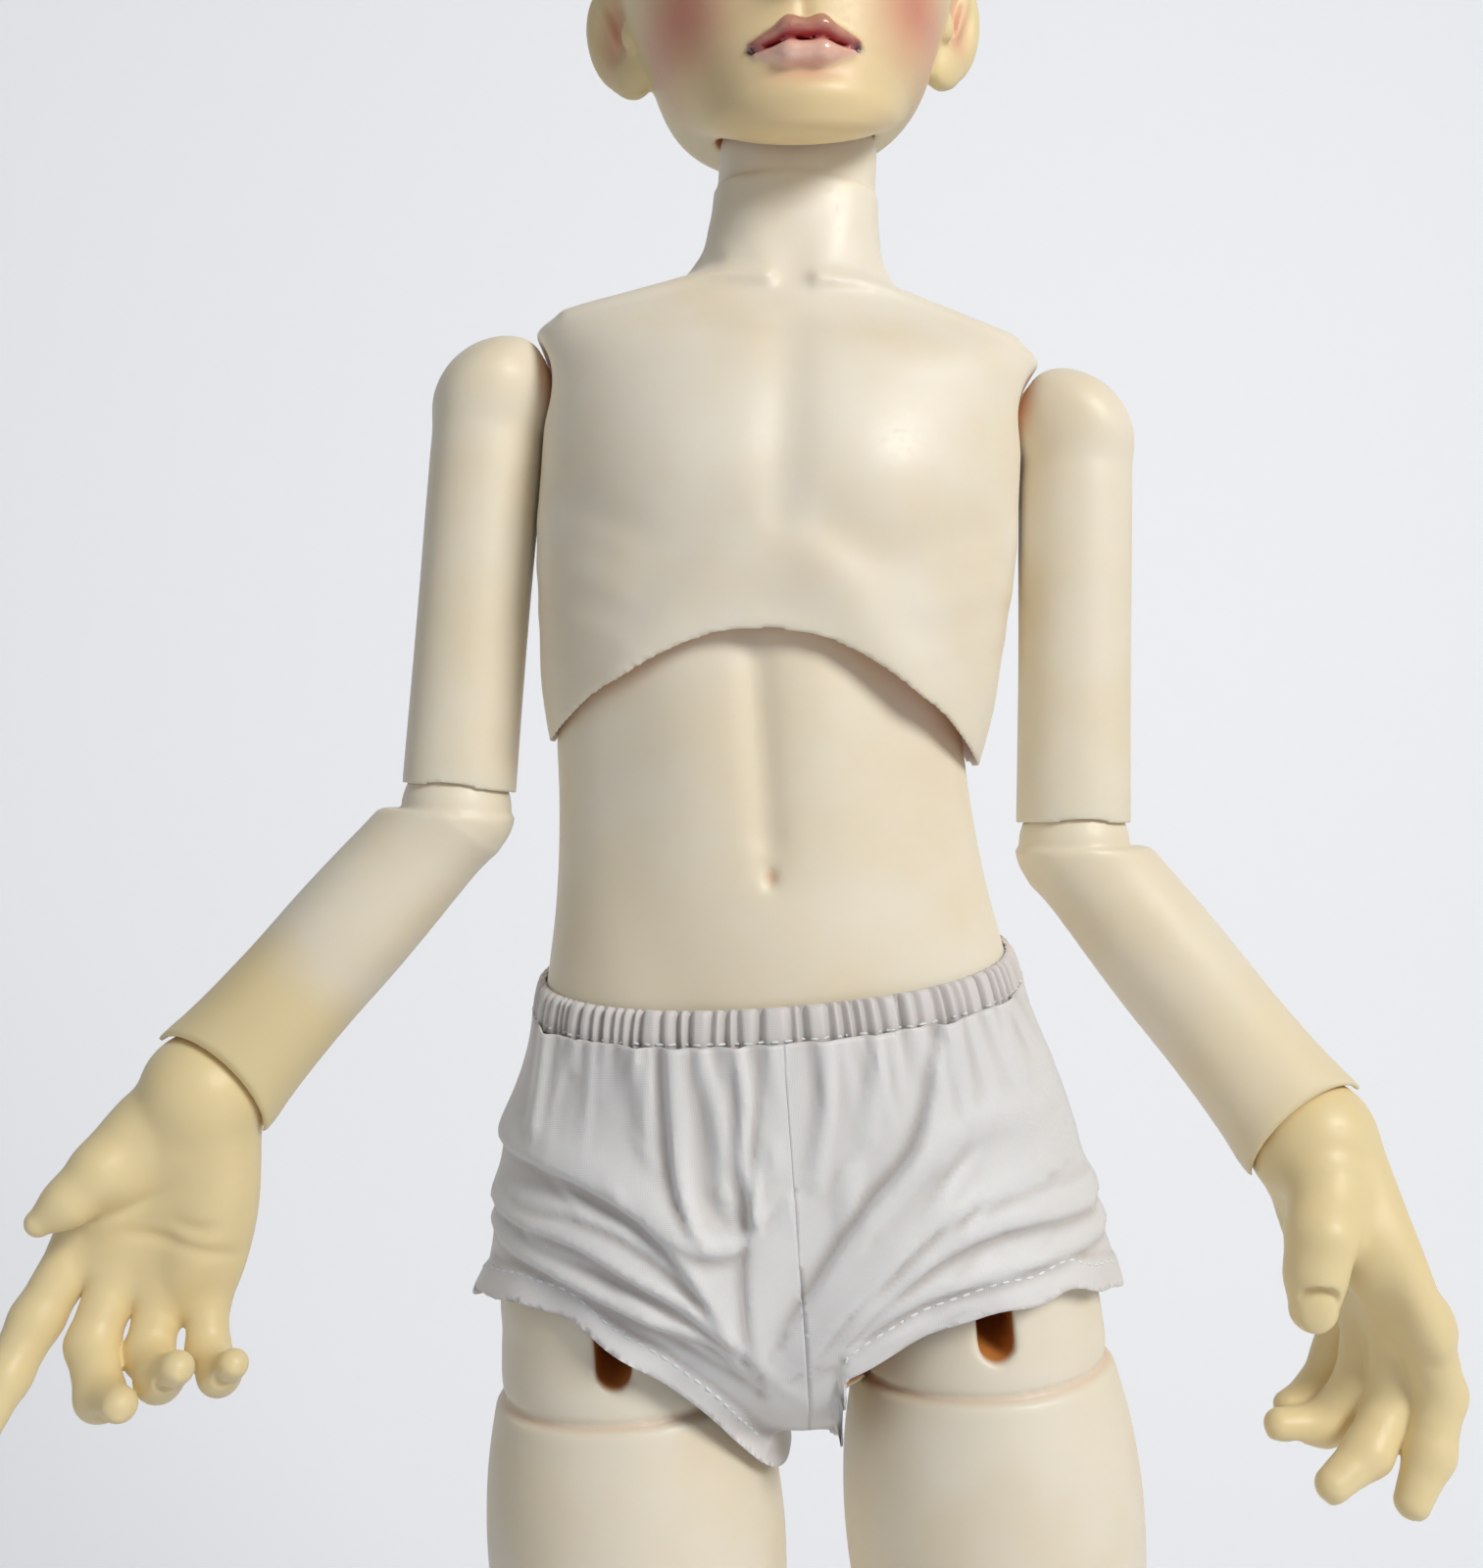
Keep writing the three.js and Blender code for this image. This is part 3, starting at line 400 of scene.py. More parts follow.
class Nodes:
    """Short names for making a material's nodes."""

    def __init__(self, name):
        self.material = bpy.data.materials.new(name)
        self.material.use_nodes = True
        self.tree = self.material.node_tree
        self.shader = self.tree.nodes["Principled BSDF"]

    def add(self, kind, **settings):
        node = self.tree.nodes.new(kind)
        for key, value in settings.items():
            setattr(node, key, value)
        return node

    def link(self, source, target):
        self.tree.links.new(source, target)

    def mark(self, name):
        return self.add("ShaderNodeAttribute", attribute_name=name).outputs["Fac"]

    def noise(self, scale, detail=3.0, stretch=None):
        place = self.add("ShaderNodeTexCoord").outputs["Object"]
        if stretch:
            mapping = self.add("ShaderNodeMapping")
            mapping.inputs["Scale"].default_value = stretch
            self.link(place, mapping.inputs["Vector"])
            place = mapping.outputs["Vector"]
        node = self.add("ShaderNodeTexNoise")
        node.inputs["Scale"].default_value = scale
        node.inputs["Detail"].default_value = detail
        self.link(place, node.inputs["Vector"])
        return node.outputs["Fac"]

    def wave(self, scale, direction, distortion=0.0):
        node = self.add("ShaderNodeTexWave", bands_direction=direction)
        node.inputs["Scale"].default_value = scale
        node.inputs["Distortion"].default_value = distortion
        self.link(self.add("ShaderNodeTexCoord").outputs["Object"], node.inputs["Vector"])
        return node.outputs["Fac"]

    def ramp(self, source, low, high, to_low=0.0, to_high=1.0):
        node = self.add("ShaderNodeMapRange", interpolation_type="SMOOTHSTEP")
        sockets = {"From Min": low, "From Max": high, "To Min": to_low, "To Max": to_high}
        for key, value in sockets.items():
            node.inputs[key].default_value = value
        self.link(source, node.inputs["Value"])
        return node.outputs["Result"]

    def math(self, kind, a, b):
        node = self.add("ShaderNodeMath", operation=kind)
        for socket, value in zip(node.inputs, (a, b)):
            if isinstance(value, (int, float)):
                socket.default_value = value
            else:
                self.link(value, socket)
        return node.outputs[0]

    def mix(self, share, a, b, kind="MIX"):
        node = self.add("ShaderNodeMix", data_type="RGBA", blend_type=kind)
        for socket, value in ((node.inputs[0], share), (node.inputs[6], a), (node.inputs[7], b)):
            if isinstance(value, (int, float)):
                socket.default_value = value
            elif isinstance(value, tuple):
                socket.default_value = (*value, 1)
            else:
                self.link(value, socket)
        return node.outputs[2]

    def bump(self, height, strength, distance):
        node = self.add("ShaderNodeBump")
        node.inputs["Strength"].default_value = strength
        node.inputs["Distance"].default_value = distance
        self.link(height, node.inputs["Height"])
        self.link(node.outputs["Normal"], self.shader.inputs["Normal"])

    def set(self, **sockets):
        for key, value in sockets.items():
            socket = self.shader.inputs[key.replace("_", " ")]
            if isinstance(value, bpy.types.NodeSocket):
                self.link(value, socket)
            else:
                socket.default_value = value


def linear(red, green, blue):
    """Colour written as eight-bit screen values."""
    share = [v / 255 for v in (red, green, blue)]
    return tuple(v / 12.92 if v <= 0.04045 else ((v + 0.055) / 1.055) ** 2.4 for v in share)


RESIN = linear(240, 232, 215)
RESIN_WARM = linear(236, 224, 200)
RESIN_YELLOW = linear(238, 217, 160)
# Painted shade for the insides of sockets, slots and gap lines
CREVICE_SHADE = linear(206, 132, 66)


def resin_material(name):
    m = Nodes(name)
    cloud = m.ramp(m.noise(38, 2), 0.35, 0.7)
    speck = m.ramp(m.noise(900, 2), 0.4, 0.75)
    colour = m.mix(cloud, RESIN, RESIN_WARM)
    colour = m.mix(m.mark("yellow"), colour, RESIN_YELLOW)
    colour = m.mix(m.math("MULTIPLY", speck, 0.05), colour, RESIN_WARM)
    # Painted shade: the cuts turn orange-brown by their depth
    colour = m.mix(m.ramp(m.mark("cut_shade"), 0.05, 0.75), colour, CREVICE_SHADE)
    m.set(Base_Color=colour, Roughness=m.ramp(speck, 0, 1, 0.42, 0.52))
    m.set(Subsurface_Weight=0.25, Subsurface_Scale=0.004, Subsurface_Radius=(1.0, 0.6, 0.3))
    m.bump(m.noise(2600, 2), 0.06, 0.0002)
    return m


def face_material():
    m = resin_material("face_resin")
    colour = m.shader.inputs["Base Color"].links[0].from_socket
    # Blush paint on the cheeks and ears, painted shade under the lower lip, and a faint warm tint over the
    # face
    colour = m.mix(m.mark("blush_and_shade"), colour, linear(214, 128, 114))
    colour = m.mix(m.mark("brow"), colour, linear(150, 112, 84))
    patch = m.ramp(m.noise(420, 3), 0.3, 0.8)
    low_lip = m.mix(patch, linear(234, 178, 166), linear(242, 198, 188))
    high_lip = m.mix(patch, linear(168, 92, 80), linear(188, 114, 100))
    lips = m.mix(m.mark("upper"), low_lip, high_lip)
    lips = m.mix(m.mark("inner"), lips, linear(200, 74, 70))
    colour = m.mix(m.mark("lip"), colour, lips)
    colour = m.mix(m.mark("mouth"), colour, linear(166, 44, 44))
    colour = m.mix(m.mark("corner"), colour, linear(74, 26, 34))
    m.set(Base_Color=colour)
    m.set(Coat_Weight=m.ramp(m.mark("lip"), 0.2, 0.8), Coat_Roughness=0.08)
    return m


def cotton_material(name, fresh, shown_skin):
    """Fine white cotton satin, a little warmer where it lies against the resin, with painted shade in its
    hollows.
    """
    m = Nodes(name)
    cloud = m.ramp(m.noise(70, 3), 0.3, 0.75)
    colour = m.mix(m.math("MULTIPLY", m.mark("near"), 0.8), fresh, shown_skin)
    colour = m.mix(m.math("MULTIPLY", cloud, 0.3), colour, linear(222, 219, 219))
    # Painted shade in the hollows of the folds and the furrows of the band
    colour = m.mix(m.math("MULTIPLY", m.mark("hollow_shade"), 0.6), colour, linear(176, 166, 158))
    weave = m.math("MULTIPLY", m.wave(1050, "X", 0.6), m.wave(1050, "Z", 0.6))
    colour = m.mix(m.math("MULTIPLY", weave, 0.12), colour, linear(206, 203, 202))
    m.set(Base_Color=colour, Roughness=m.ramp(cloud, 0, 1, 0.36, 0.5))
    m.set(Sheen_Weight=0.35, Sheen_Roughness=0.4, Specular_IOR_Level=0.4)
    m.set(Subsurface_Weight=0.12, Subsurface_Scale=0.002)
    m.bump(weave, 0.35, 0.0001)
    return m


def eye_material():
    m = Nodes("eye_acrylic")
    ring = m.ramp(m.noise(900, 3), 0.3, 0.7)
    iris = m.mix(ring, linear(96, 82, 66), linear(146, 128, 100))
    colour = m.mix(m.mark("iris"), linear(240, 238, 234), iris)
    colour = m.mix(m.mark("rim"), colour, linear(52, 42, 36))
    colour = m.mix(m.mark("pupil"), colour, linear(14, 12, 12))
    m.set(Base_Color=colour, Roughness=m.ramp(ring, 0, 1, 0.08, 0.14), Coat_Weight=1.0, Coat_Roughness=0.03)
    return m


def steel_material(name, colour, rough):
    m = Nodes(name)
    grain = m.noise(900, 2, (1, 1, 0.05))
    worn = tuple(c * 0.8 for c in colour)
    m.set(Base_Color=m.mix(m.ramp(grain, 0.3, 0.7), colour, worn), Metallic=1.0)
    m.set(Roughness=m.ramp(grain, 0.2, 0.8, rough, rough + 0.18))
    return m


def cord_material():
    m = Nodes("elastic_cord")
    weave = m.wave(420, "DIAGONAL", 1.5)
    m.set(Base_Color=m.mix(weave, linear(206, 196, 178), linear(238, 231, 217)), Roughness=0.85)
    m.bump(weave, 0.4, 0.0003)
    return m


# Share of yellowed resin in each casting
YELLOWED = {
    "lower_torso": 0.1, "upper_torso": 0.0, "upper_arm": 0.12, "hand": 0.85, "thigh": 0.06, "shin": 0.15,
    "foot": 0.5, "head": 0.85,
}


def plain_yellow(part):
    return lambda points: {"yellow": np.full(len(points), YELLOWED[part])}


# Trunk

PELVIS_ROWS = [
    (320, 5, 9, 12), (324, 11, 14, 20), (332, 32, 21.5, 28.5), (345, 48, 26.5, 33), (365, 52, 28.5, 34),
    (385, 50, 29.5, 31), (403.9, 46.6, 29.6, 28), (423.1, 43, 29, 26.5), (443.4, 41, 28.6, 26),
    (458.4, 40.6, 28.6, 26.5), (489.4, 40.6, 28.6, 27),
]
CHEST_ROWS = [
    (446, 42.4, 32.4, 28.4), (451.4, 43.6, 32.8, 29), (460.4, 45.4, 33.2, 30.2), (473.8, 46.6, 33.8, 31.6),
    (489.8, 48, 35, 33), (505.8, 47.9, 34.4, 34), (518.7, 48.2, 31.2, 33), (527.5, 50, 26.6, 30),
    (531.3, 50.2, 22.6, 26.8), (534.4, 46, 19.8, 24.6), (538.2, 36, 17.4, 22.6), (542.4, 25, 15.4, 20.8),
    (546.9, 19.8, 14.2, 19.2), (555.1, 17.2, 13.4, 17.6), (562, 16.4, 12.8, 16.4),
]
PELVIS_SQUARE = 2.15
CHEST_SQUARE = 2.2
# Height above the waist's pivot from which the belly is a dome
DOME_FROM = 11
# Relief of the belly and the back below it, with the sides given for the left
BELLY_GROOVE = [(-1.4, [(0, 481), (0, 434)], 3.4)]
BELLY_MUSCLES = [(1.2, (12, 455), (9, 24)), (-0.5, [(27, 473), (26, 424), (17, 398)], 7)]
BELLY_LOW = [(0.9, (0, 414), (13, 10)), (-0.9, (0, 428), (3.4, 4.6))]
BELLY_SPINE = [(-1.4, [(0, 487), (0, 372)], 4)]
NAVEL = (0, -30.2, 426.2)
NAVEL_RADII = (1.5, 3, 2.6)
# Room of the thigh as it turns: its angles, its radius and half of the bridge left between the legs
THIGH_SWEEP = (64, 300, 30.5)
BRIDGE_HALF = 6.4
WAIST_BORE = 17
# Relief of the chest and the back behind it
COLLAR = [(5, 541), (16, 541), (30, 537.4), (44, 533.6)]
COLLAR_HOLLOW = [(x, z + 4.2) for x, z in COLLAR[1:]]
CHEST_RELIEF = [
    (2.0, COLLAR, 1.9), (-1.5, COLLAR_HOLLOW, 2.2), (1.6, (21, 503), (15, 13)),
    (-0.7, [(38, 492), (22, 486), (8, 490)], 5), (0.7, [(4, 489), (14, 479), (27, 463)], 5),
    (-0.6, [(3, 475), (12, 467), (20, 459)], 5),
]
RIB_STEP = 9
RIBS = [(0.22, [(28, 486 - RIB_STEP * k), (46, 493 - RIB_STEP * k)], 2.6) for k in range(3)]
NECK_CORDS = [(0.4, [(4, 542), (10, 553), (14, 562)], 3.8)]
SHOULDER_BLADES = [(1.6, [(14, 516), (20, 496), (17, 478)], 7)]
BREASTBONE = [(-1.2, [(0, 528), (0, 492)], 5), (-0.45, (0, 543.5), (5.4, 4.4))]
CHEST_SPINE = [(-1.3, [(0, 556), (0, 448)], 4)]
NECK_BORE = 6


def lower_torso():
    b = Block((-55, -36, 316), (55, 38, 489), 0.75)
    body = b.loft(PELVIS_ROWS, PELVIS_SQUARE)
    dome = b.ball(WAIST, WAIST_BALL)
    body = np.where(b.z > WAIST.z + DOME_FROM, smooth_both(body, dome, 1.2), body)
    front = b.facing()
    b.relief(body, front, BELLY_GROOVE)
    for s in SIDES.values():
        b.relief(body, front, BELLY_MUSCLES, s)
    b.relief(body, front, BELLY_LOW)
    b.relief(body, 1 - front, BELLY_SPINE)
    uncut = body
    body = smooth_cut(body, b.egg(NAVEL, NAVEL_RADII), 1.0)
    for s in SIDES.values():
        hip = (s * HIP_SPREAD, 0, HIP_HEIGHT)
        body = smooth_cut(body, b.ball(hip, HIP_BALL + GAP), RIM)
        sweep = np.maximum(b.fan(hip, *THIGH_SWEEP), -(s * b.x - BRIDGE_HALF))
        body = smooth_cut(body, sweep, RIM)
    body = smooth_cut(body, b.bone((0, 0, WAIST.z + 22), (0, 0, WAIST.z + 60), WAIST_BORE), RIM)
    piece = cast("belly_casting", b, body, uncut, Matrix.Identity(4), plain_yellow("lower_torso"))
    dress(piece, "lower_torso", "body_resin", BODY, "lower_torso")


def upper_torso():
    b = Block((-60, -40, 440), (60, 38, 584), 0.75)
    body = b.loft(CHEST_ROWS, CHEST_SQUARE)
    column = b.bone(NECK - Vector((0, 0, 4)), NECK + Vector((0, 0, 40)), NECK_RADIUS)
    column = smooth_both(column, b.ball(NECK, NECK_BALL), 1.5)
    body = smooth_join(body, column, 1.5)
    front = b.facing(-2, 5)
    for s in SIDES.values():
        b.relief(body, front, CHEST_RELIEF, s)
        b.relief(body, 1, RIBS, s)
        b.relief(body, front, NECK_CORDS, s)
        b.relief(body, 1 - front, SHOULDER_BLADES, s)
    b.relief(body, front, BREASTBONE)
    b.relief(body, 1 - front, CHEST_SPINE)
    uncut = body
    body = smooth_cut(body, b.ball(WAIST, WAIST_BALL + GAP), RIM)
    for s in SIDES.values():
        socket = b.ball((s * SHOULDER_SPREAD, 0, SHOULDER_HEIGHT), SHOULDER_BALL + GAP)
        body = smooth_cut(body, socket, RIM)
        ahead = [(s * SHOULDER_SPREAD, y, SHOULDER_HEIGHT) for y in (-50, -4)]
        body = smooth_cut(body, b.bone(*ahead, SHOULDER_BALL + GAP), RIM)
    body = smooth_cut(body, b.bone((0, NECK.y, 526), (0, NECK.y, 590), NECK_BORE), RIM)
    piece = cast("chest_casting", b, body, uncut, CHEST, plain_yellow("upper_torso"))
    dress(piece, "upper_torso", "body_resin", BODY, "upper_torso")


# Arms

ARM_ROWS = [
    (-80.8, 11.6, 11, 11), (-64, 11.4, 11, 11), (-43.2, 11.3, 11.2, 11.2), (-22.9, 11.4, 11.8, 11.8),
    (-9, 11.3, 12, 12), (-3, 11, 11.6, 11.6), (2, 9, 10, 10),
]
# Round of the shoulder: how far its middle lies inside the arm's axis, its height and its radius
SHOULDER_ROUND = (4.5, -5, 16)
# Sweep of the elastic in the arm's top, the radius of its slot and of the bore below it
LIFT_ROOM = 84
LIFT_SLOT = 3
ARM_BORE = 4
# Notch in front of the elbow: how far its middle lies ahead of and below the pivot, and its radius
ELBOW_NOTCH = (8, 6, 11)
FOREARM_ROWS = [
    (-79, 14.4, 12.6, 14.4), (-73.3, 14.3, 12.2, 14.3), (-66.4, 13.5, 11.4, 13.2), (-49.9, 12.6, 11.4, 11.8),
    (-31.1, 12.5, 11.8, 11.8), (-15.4, 11.9, 11.2, 11.2), (-8, 11.4, 11, 11), (-3, 10, 10, 10),
]
# Top of the forearm's sleeve below the elbow ball, and the cup of the wrist, open in front and behind
SLEEVE_THICK = 0.8
SLEEVE_TILT = 38
CUP_END = -75.4
CUP_SLOPE = 0.9
CUP_BACK = 0.8
# Bore of the forearm and slot of its elbow ball, as radii
FOREARM_BORE = 4.6
ELBOW_SLOT = 2.6
# Share of yellowed resin above and below the middle of the forearm
FOREARM_YELLOW = {"right": (0.15, 0.8), "left": (0.2, 0.4)}


def upper_arms():
    b = Block((-16, -16, -88), (16, 16, 15), 0.65)
    body = smooth_join(b.loft(ARM_ROWS), b.ball((0, 0, 0), SHOULDER_BALL), 2.5)
    inside, top, radius = SHOULDER_ROUND
    body = smooth_both(body, b.bone((-inside, 0, top), (-inside, 0, -200), radius), 1.5)
    uncut = body
    elbow = (0, 0, -UPPER_ARM)
    body = smooth_cut(body, b.ball(elbow, ELBOW_BALL + GAP), RIM)
    ahead, under, radius = ELBOW_NOTCH
    body = smooth_cut(body, b.ball((0, -ahead, -UPPER_ARM - under), radius), RIM)
    body = smooth_cut(body, b.bone((0, 0, 0), elbow, ARM_BORE), RIM)
    for turn in np.radians(np.linspace(0, LIFT_ROOM, 8)):
        way = (-30 * math.cos(turn), 0, 30 * math.sin(turn))
        body = smooth_cut(body, b.bone((0, 0, 0), way, LIFT_SLOT), 0.6)
    both_sides("upper_arm", b, body, uncut, arm_frame)


def forearms():
    b = Block((-17, -17, -81), (17, 17, 14), 0.65)
    sleeve = smooth_join(b.loft(FOREARM_ROWS), b.ball((0, 0, 0), ELBOW_BALL + SLEEVE_THICK), 4)
    tilt = math.radians(SLEEVE_TILT)
    under = b.x * math.sin(tilt) + b.z * math.cos(tilt) + 0.5 + 0 * b.y
    sleeve = smooth_both(sleeve, under, 1.2)
    cup = CUP_END + CUP_SLOPE * np.maximum(-b.y, 0) + CUP_BACK * np.maximum(b.y, 0) - b.z + 0 * b.x
    sleeve = smooth_both(sleeve, cup, 0.8)
    body = smooth_join(sleeve, b.ball((0, 0, 0), ELBOW_BALL), 0.5)
    uncut = body
    wrist = (0, 0, -FOREARM)
    body = smooth_cut(body, b.ball(wrist, WRIST_BALL + 2 * GAP), RIM)
    body = smooth_cut(body, b.bone((0, 0, 8), wrist, FOREARM_BORE), RIM)
    body = smooth_cut(body, b.bone((0, 0, 0), (8, 0, 18), ELBOW_SLOT), RIM)
    for side in SIDES:
        above, below = FOREARM_YELLOW[side]

        def paint(points):
            return {"yellow": above + (below - above) * smooth_step(36, 50, -points[:, 2])}

        piece = cast(f"forearm_casting_{side}", b, body, uncut, forearm_frame(side), paint, side == "right")
        dress(piece, f"forearm_{side}", "body_resin", BODY, f"forearm_{side}")


# Hands, as the doll's left hand with the palm towards -Y

PALM_ROWS = [
    (-45, 15, 3.6, 4), (-42, 17.8, 5.4, 5.6), (-36, 19, 6.6, 6.8), (-27, 19, 7.6, 7.8), (-18, 17.6, 8.8, 9),
    (-11, 15.4, 10.2, 10.4), (-5, 13.2, 11.4, 11.6), (0, 11.8, 11.6, 11.8),
]
KNUCKLES = (13.4, 4.6, -4.6, -12.8)
KNUCKLE_AT = (0.4, -36)
FINGER_LENGTHS = (38, 40, 37, 30)
FINGER_RADII = (5.0, 4.9, 4.6, 4.1)
BONE_SHARES = (0.45, 0.30, 0.25)
BONE_RADII = (1.06, 1, 0.92, 0.72)
CURLS = {
    "right": [(24, 6, 4), (25, 32, 58), (21, 72, 42), (19, 68, 50)],
    "left": [(2, 38, 12), (24, 40, 18), (36, 27, 52), (38, 22, 40)],
}
# Lean of each bone towards the thumb, degrees
SPREADS = {
    "right": [(5, 1, -4), (-6, -36, -34), (-12, -31, -24), (-26, -34, -21)],
    "left": [(-14, 6, 6), (-4, 14, 8), (6, -10, -4), (1, 6, 16)],
}
THUMBS = {
    "right": [(7.9, -2, -9.6), (11.9, -8, -18.9), (15.3, -11, -25.7), (18.9, -12.5, -30.9)],
    "left": [(9, -5.7, -6.8), (14.5, -12.7, -12.1), (15, -17, -17.7), (14, -19.7, -23.8)],
}
THUMB_RADII = {"right": (7.2, 6.0, 4.6, 2.8), "left": (7.4, 6.2, 5.3, 4.6)}
# Way across the nail of each thumb
THUMB_ACROSS = {"right": (1, -0.4, 0), "left": (-0.35, -0.95, 0)}
PALM_HOLLOW = [(-1.4, (0, -29), (6, 9))]
# Bumps over the knuckles on the back of the hand: place beside the joint and radii
KNUCKLE_RISE = Vector((0, 3.8, -2))
KNUCKLE_BUMP = (3.2, 1.8, 4)
# Lines of the palm, as x, z and depth
PALM_LINES = [
    [(10.6, -28.9, 0.6), (5.5, -24.8, 0.8), (0.2, -19.4, 0.6), (-4, -13.8, 0)],
    [(5.6, -30.2, 0.1), (-2, -28.3, 0.8), (-10, -27.6, 0.8), (-18, -27.2, 0.5)],
    [(-3.5, -23.9, 0.1), (-9.5, -23.4, 0.8), (-14.4, -21.5, 0.1)],
]


def finger_path(number, side):
    """Joints of a finger from the knuckle to the tip."""
    path = [Vector((KNUCKLES[number], *KNUCKLE_AT))]
    turn = 0.0
    for share, curl, lean in zip(BONE_SHARES, CURLS[side][number], SPREADS[side][number]):
        turn += math.radians(curl)
        aside = math.radians(lean)
        flat = math.cos(aside)
        step = Vector((math.sin(aside), -math.sin(turn) * flat, -math.cos(turn) * flat))
        path.append(path[-1] + step * FINGER_LENGTHS[number] * share)
    return path


def nail(b, body, path, radius, across, wide=0.66):
    """Nail plate in a shallow bed on the back of a finger's last bone."""
    along = (path[-1] - path[-2]).normalized()
    across = (across - along * across.dot(along)).normalized()
    out = across.cross(along)
    centre = path[-1] - along * 0.2 * radius + out * 0.62 * radius
    turn = Matrix((across, along, out)).transposed()
    bed = b.egg(centre + out * 0.42 * radius, ((wide + 0.2) * radius, 1.25 * radius, 0.5 * radius), turn)
    plate = b.egg(centre, (wide * radius, 1.05 * radius, 0.36 * radius), turn)
    return smooth_join(smooth_cut(body, bed, 0.5), plate, 0.4)


def hands():
    for side in SIDES:
        b = Block((-34, -42, -84), (34, 16, 15), 0.5)
        body = smooth_join(b.loft(PALM_ROWS, 2.3, 2.0), b.ball((0, 0, 0), WRIST_BALL), 1.2)
        body = smooth_join(body, b.egg((9, -4.4, -19), (6.8, 5.6, 12)), 4)
        body = smooth_join(body, b.egg((-10, -3.6, -25), (5.6, 4.8, 14)), 4)
        palm = b.facing(-2, 3)
        b.relief(body, palm, PALM_HOLLOW)
        for line in PALM_LINES:
            body += palm * b.fold(line, 1.5, 1.5)
        thumb = THUMBS[side]
        body = smooth_join(body, b.chain(thumb, THUMB_RADII[side], 3), 3.2)
        paths = [finger_path(k, side) for k in range(len(KNUCKLES))]
        fingers = []
        for path, radius in zip(paths, FINGER_RADII):
            fingers.append(b.chain(path, [radius * f for f in BONE_RADII], 2))
            body = smooth_join(body, b.egg(path[0] + KNUCKLE_RISE, KNUCKLE_BUMP), 3)
        body = smooth_join(body, join_all(fingers, 0.7), 2)
        for path, radius in zip(paths, FINGER_RADII):
            body = nail(b, body, path, radius * BONE_RADII[-1], Vector((1, 0, 0)))
        tip = [Vector(p) for p in thumb]
        body = nail(b, body, tip, THUMB_RADII[side][-1], Vector(THUMB_ACROSS[side]), 0.82)
        uncut = body
        body = smooth_cut(body, b.bone((0, 0, 0), (0, 0, 20), 2.4, 4), RIM)
        name = f"hand_casting_{side}"
        piece = cast(name, b, body, uncut, hand_frame(side), plain_yellow("hand"), side == "right")
        dress(piece, f"hand_{side}", "hand_resin", HAND, f"hand_{side}")


# Legs

THIGH_ROWS = [
    (-156, 19.6, 20.6, 20.6), (-148, 20, 21.4, 21.6), (-132, 21.6, 22.8, 23.4), (-104.8, 25, 26, 27),
    (-72, 28.4, 29.6, 29.6), (-42, 29.8, 30, 30.4), (-30, 28.6, 28.4, 28.8), (-21, 26.8, 26.2, 26.6),
    (-16, 25.6, 25.2, 25.4),
]
BULB_ROWS = [(-22, 22, 22, 22), (-16, 24.4, 24.4, 24.4), (-8, 24.4, 24.4, 24.4), (-1, 23.6, 23.6, 23.6)]
# Slope of the opening behind the knee
KNEE_ROOM = 0.9
# Bores of the leg as radii, and slots as the angles that the elastic sweeps and their half width
THIGH_BORE = 9
SHIN_BORE = 5.4
HIP_SLOT = (-106, 12, 3.4)
KNEE_SLOT = (-14, 106, 2.8)
ANKLE_SLOT = (-60, 60, 2.1)
SHIN_EDGE = [(1.2, [(0, -10), (0, -120)], 4)]
# Crease between the hip's bulb and the thigh
CREASE_AT = -17
CREASE_DEEP = 1.0
SHIN_ROWS = [
    (-138.6, 13.2, 13.2, 13.6), (-126, 12.6, 12.8, 13.4), (-92, 15, 14.6, 17), (-60, 18.6, 17, 22.4),
    (-38, 19.4, 18, 22.4), (-18, 18, 17.8, 16.5), (-9, 16.8, 16.6, 14.5), (-5, 13.5, 13.5, 13),
]
FOOT_ROWS = [
    (-24.5, 5, 4, 8), (-21, 9.6, 8, 18), (-14, 12.2, 9, 27), (-2, 12.4, 9, 31), (12, 12.8, 9, 25),
    (28, 14.4, 9, 17), (44, 15.2, 9, 11), (56, 13.5, 8, 7), (62, 9, 6, 3),
]
FOOT_MIDDLE = 8
FOOT_SQUARE = 2.3
TOES = [(-9.6, 60, 5), (-2.6, 63, 3.6), (3.2, 61.5, 3.4), (8.4, 58, 3.2), (12.8, 53, 3)]


def thighs():
    b = Block((-34, -34, -164), (34, 34, 27), 0.9)
    bulb = smooth_join(b.loft(BULB_ROWS), b.ball((0, 0, 0), HIP_BALL), 0.5)
    body = smooth_join(b.loft(THIGH_ROWS, 2, 2), bulb, 0.5)
    uncut = body
    body = body + CREASE_DEEP * np.exp(-((b.z - CREASE_AT) / 0.8) ** 2)
    knee = (0, 0, -THIGH)
    body = smooth_cut(body, b.ball(knee, KNEE_BALL + GAP), RIM)
    body = smooth_cut(body, b.fan((0, 4, -THIGH), 40, 90, 10), RIM)
    over = (b.z + THIGH - KNEE_ROOM * (b.y - 3) - 3) / math.hypot(1, KNEE_ROOM) + 0 * b.x
    body = smooth_cut(body, np.maximum(over, 3 - b.y), RIM)
    body = smooth_cut(body, b.bone((0, 0, -22), knee, THIGH_BORE), RIM)
    body = smooth_cut(body, b.fan((0, 0, 0), *HIP_SLOT), 0.8)
    both_sides("thigh", b, body, uncut, thigh_frame)


def shins():
    b = Block((-24, -24, -150), (24, 30, 20), 0.9)
    body = smooth_join(b.loft(SHIN_ROWS, 2, 2), b.ball((0, 0, 0), KNEE_BALL), 2)
    b.relief(body, b.facing(-4, 3), SHIN_EDGE)
    uncut = body
    ankle = (0, 0, -SHIN)
    body = smooth_cut(body, b.ball(ankle, ANKLE_BALL + GAP), RIM)
    body = smooth_cut(body, b.bone((0, 0, 9), ankle, SHIN_BORE), RIM)
    body = smooth_cut(body, b.fan((0, 0, 0), *KNEE_SLOT), 0.8)
    both_sides("shin", b, body, uncut, shin_frame)


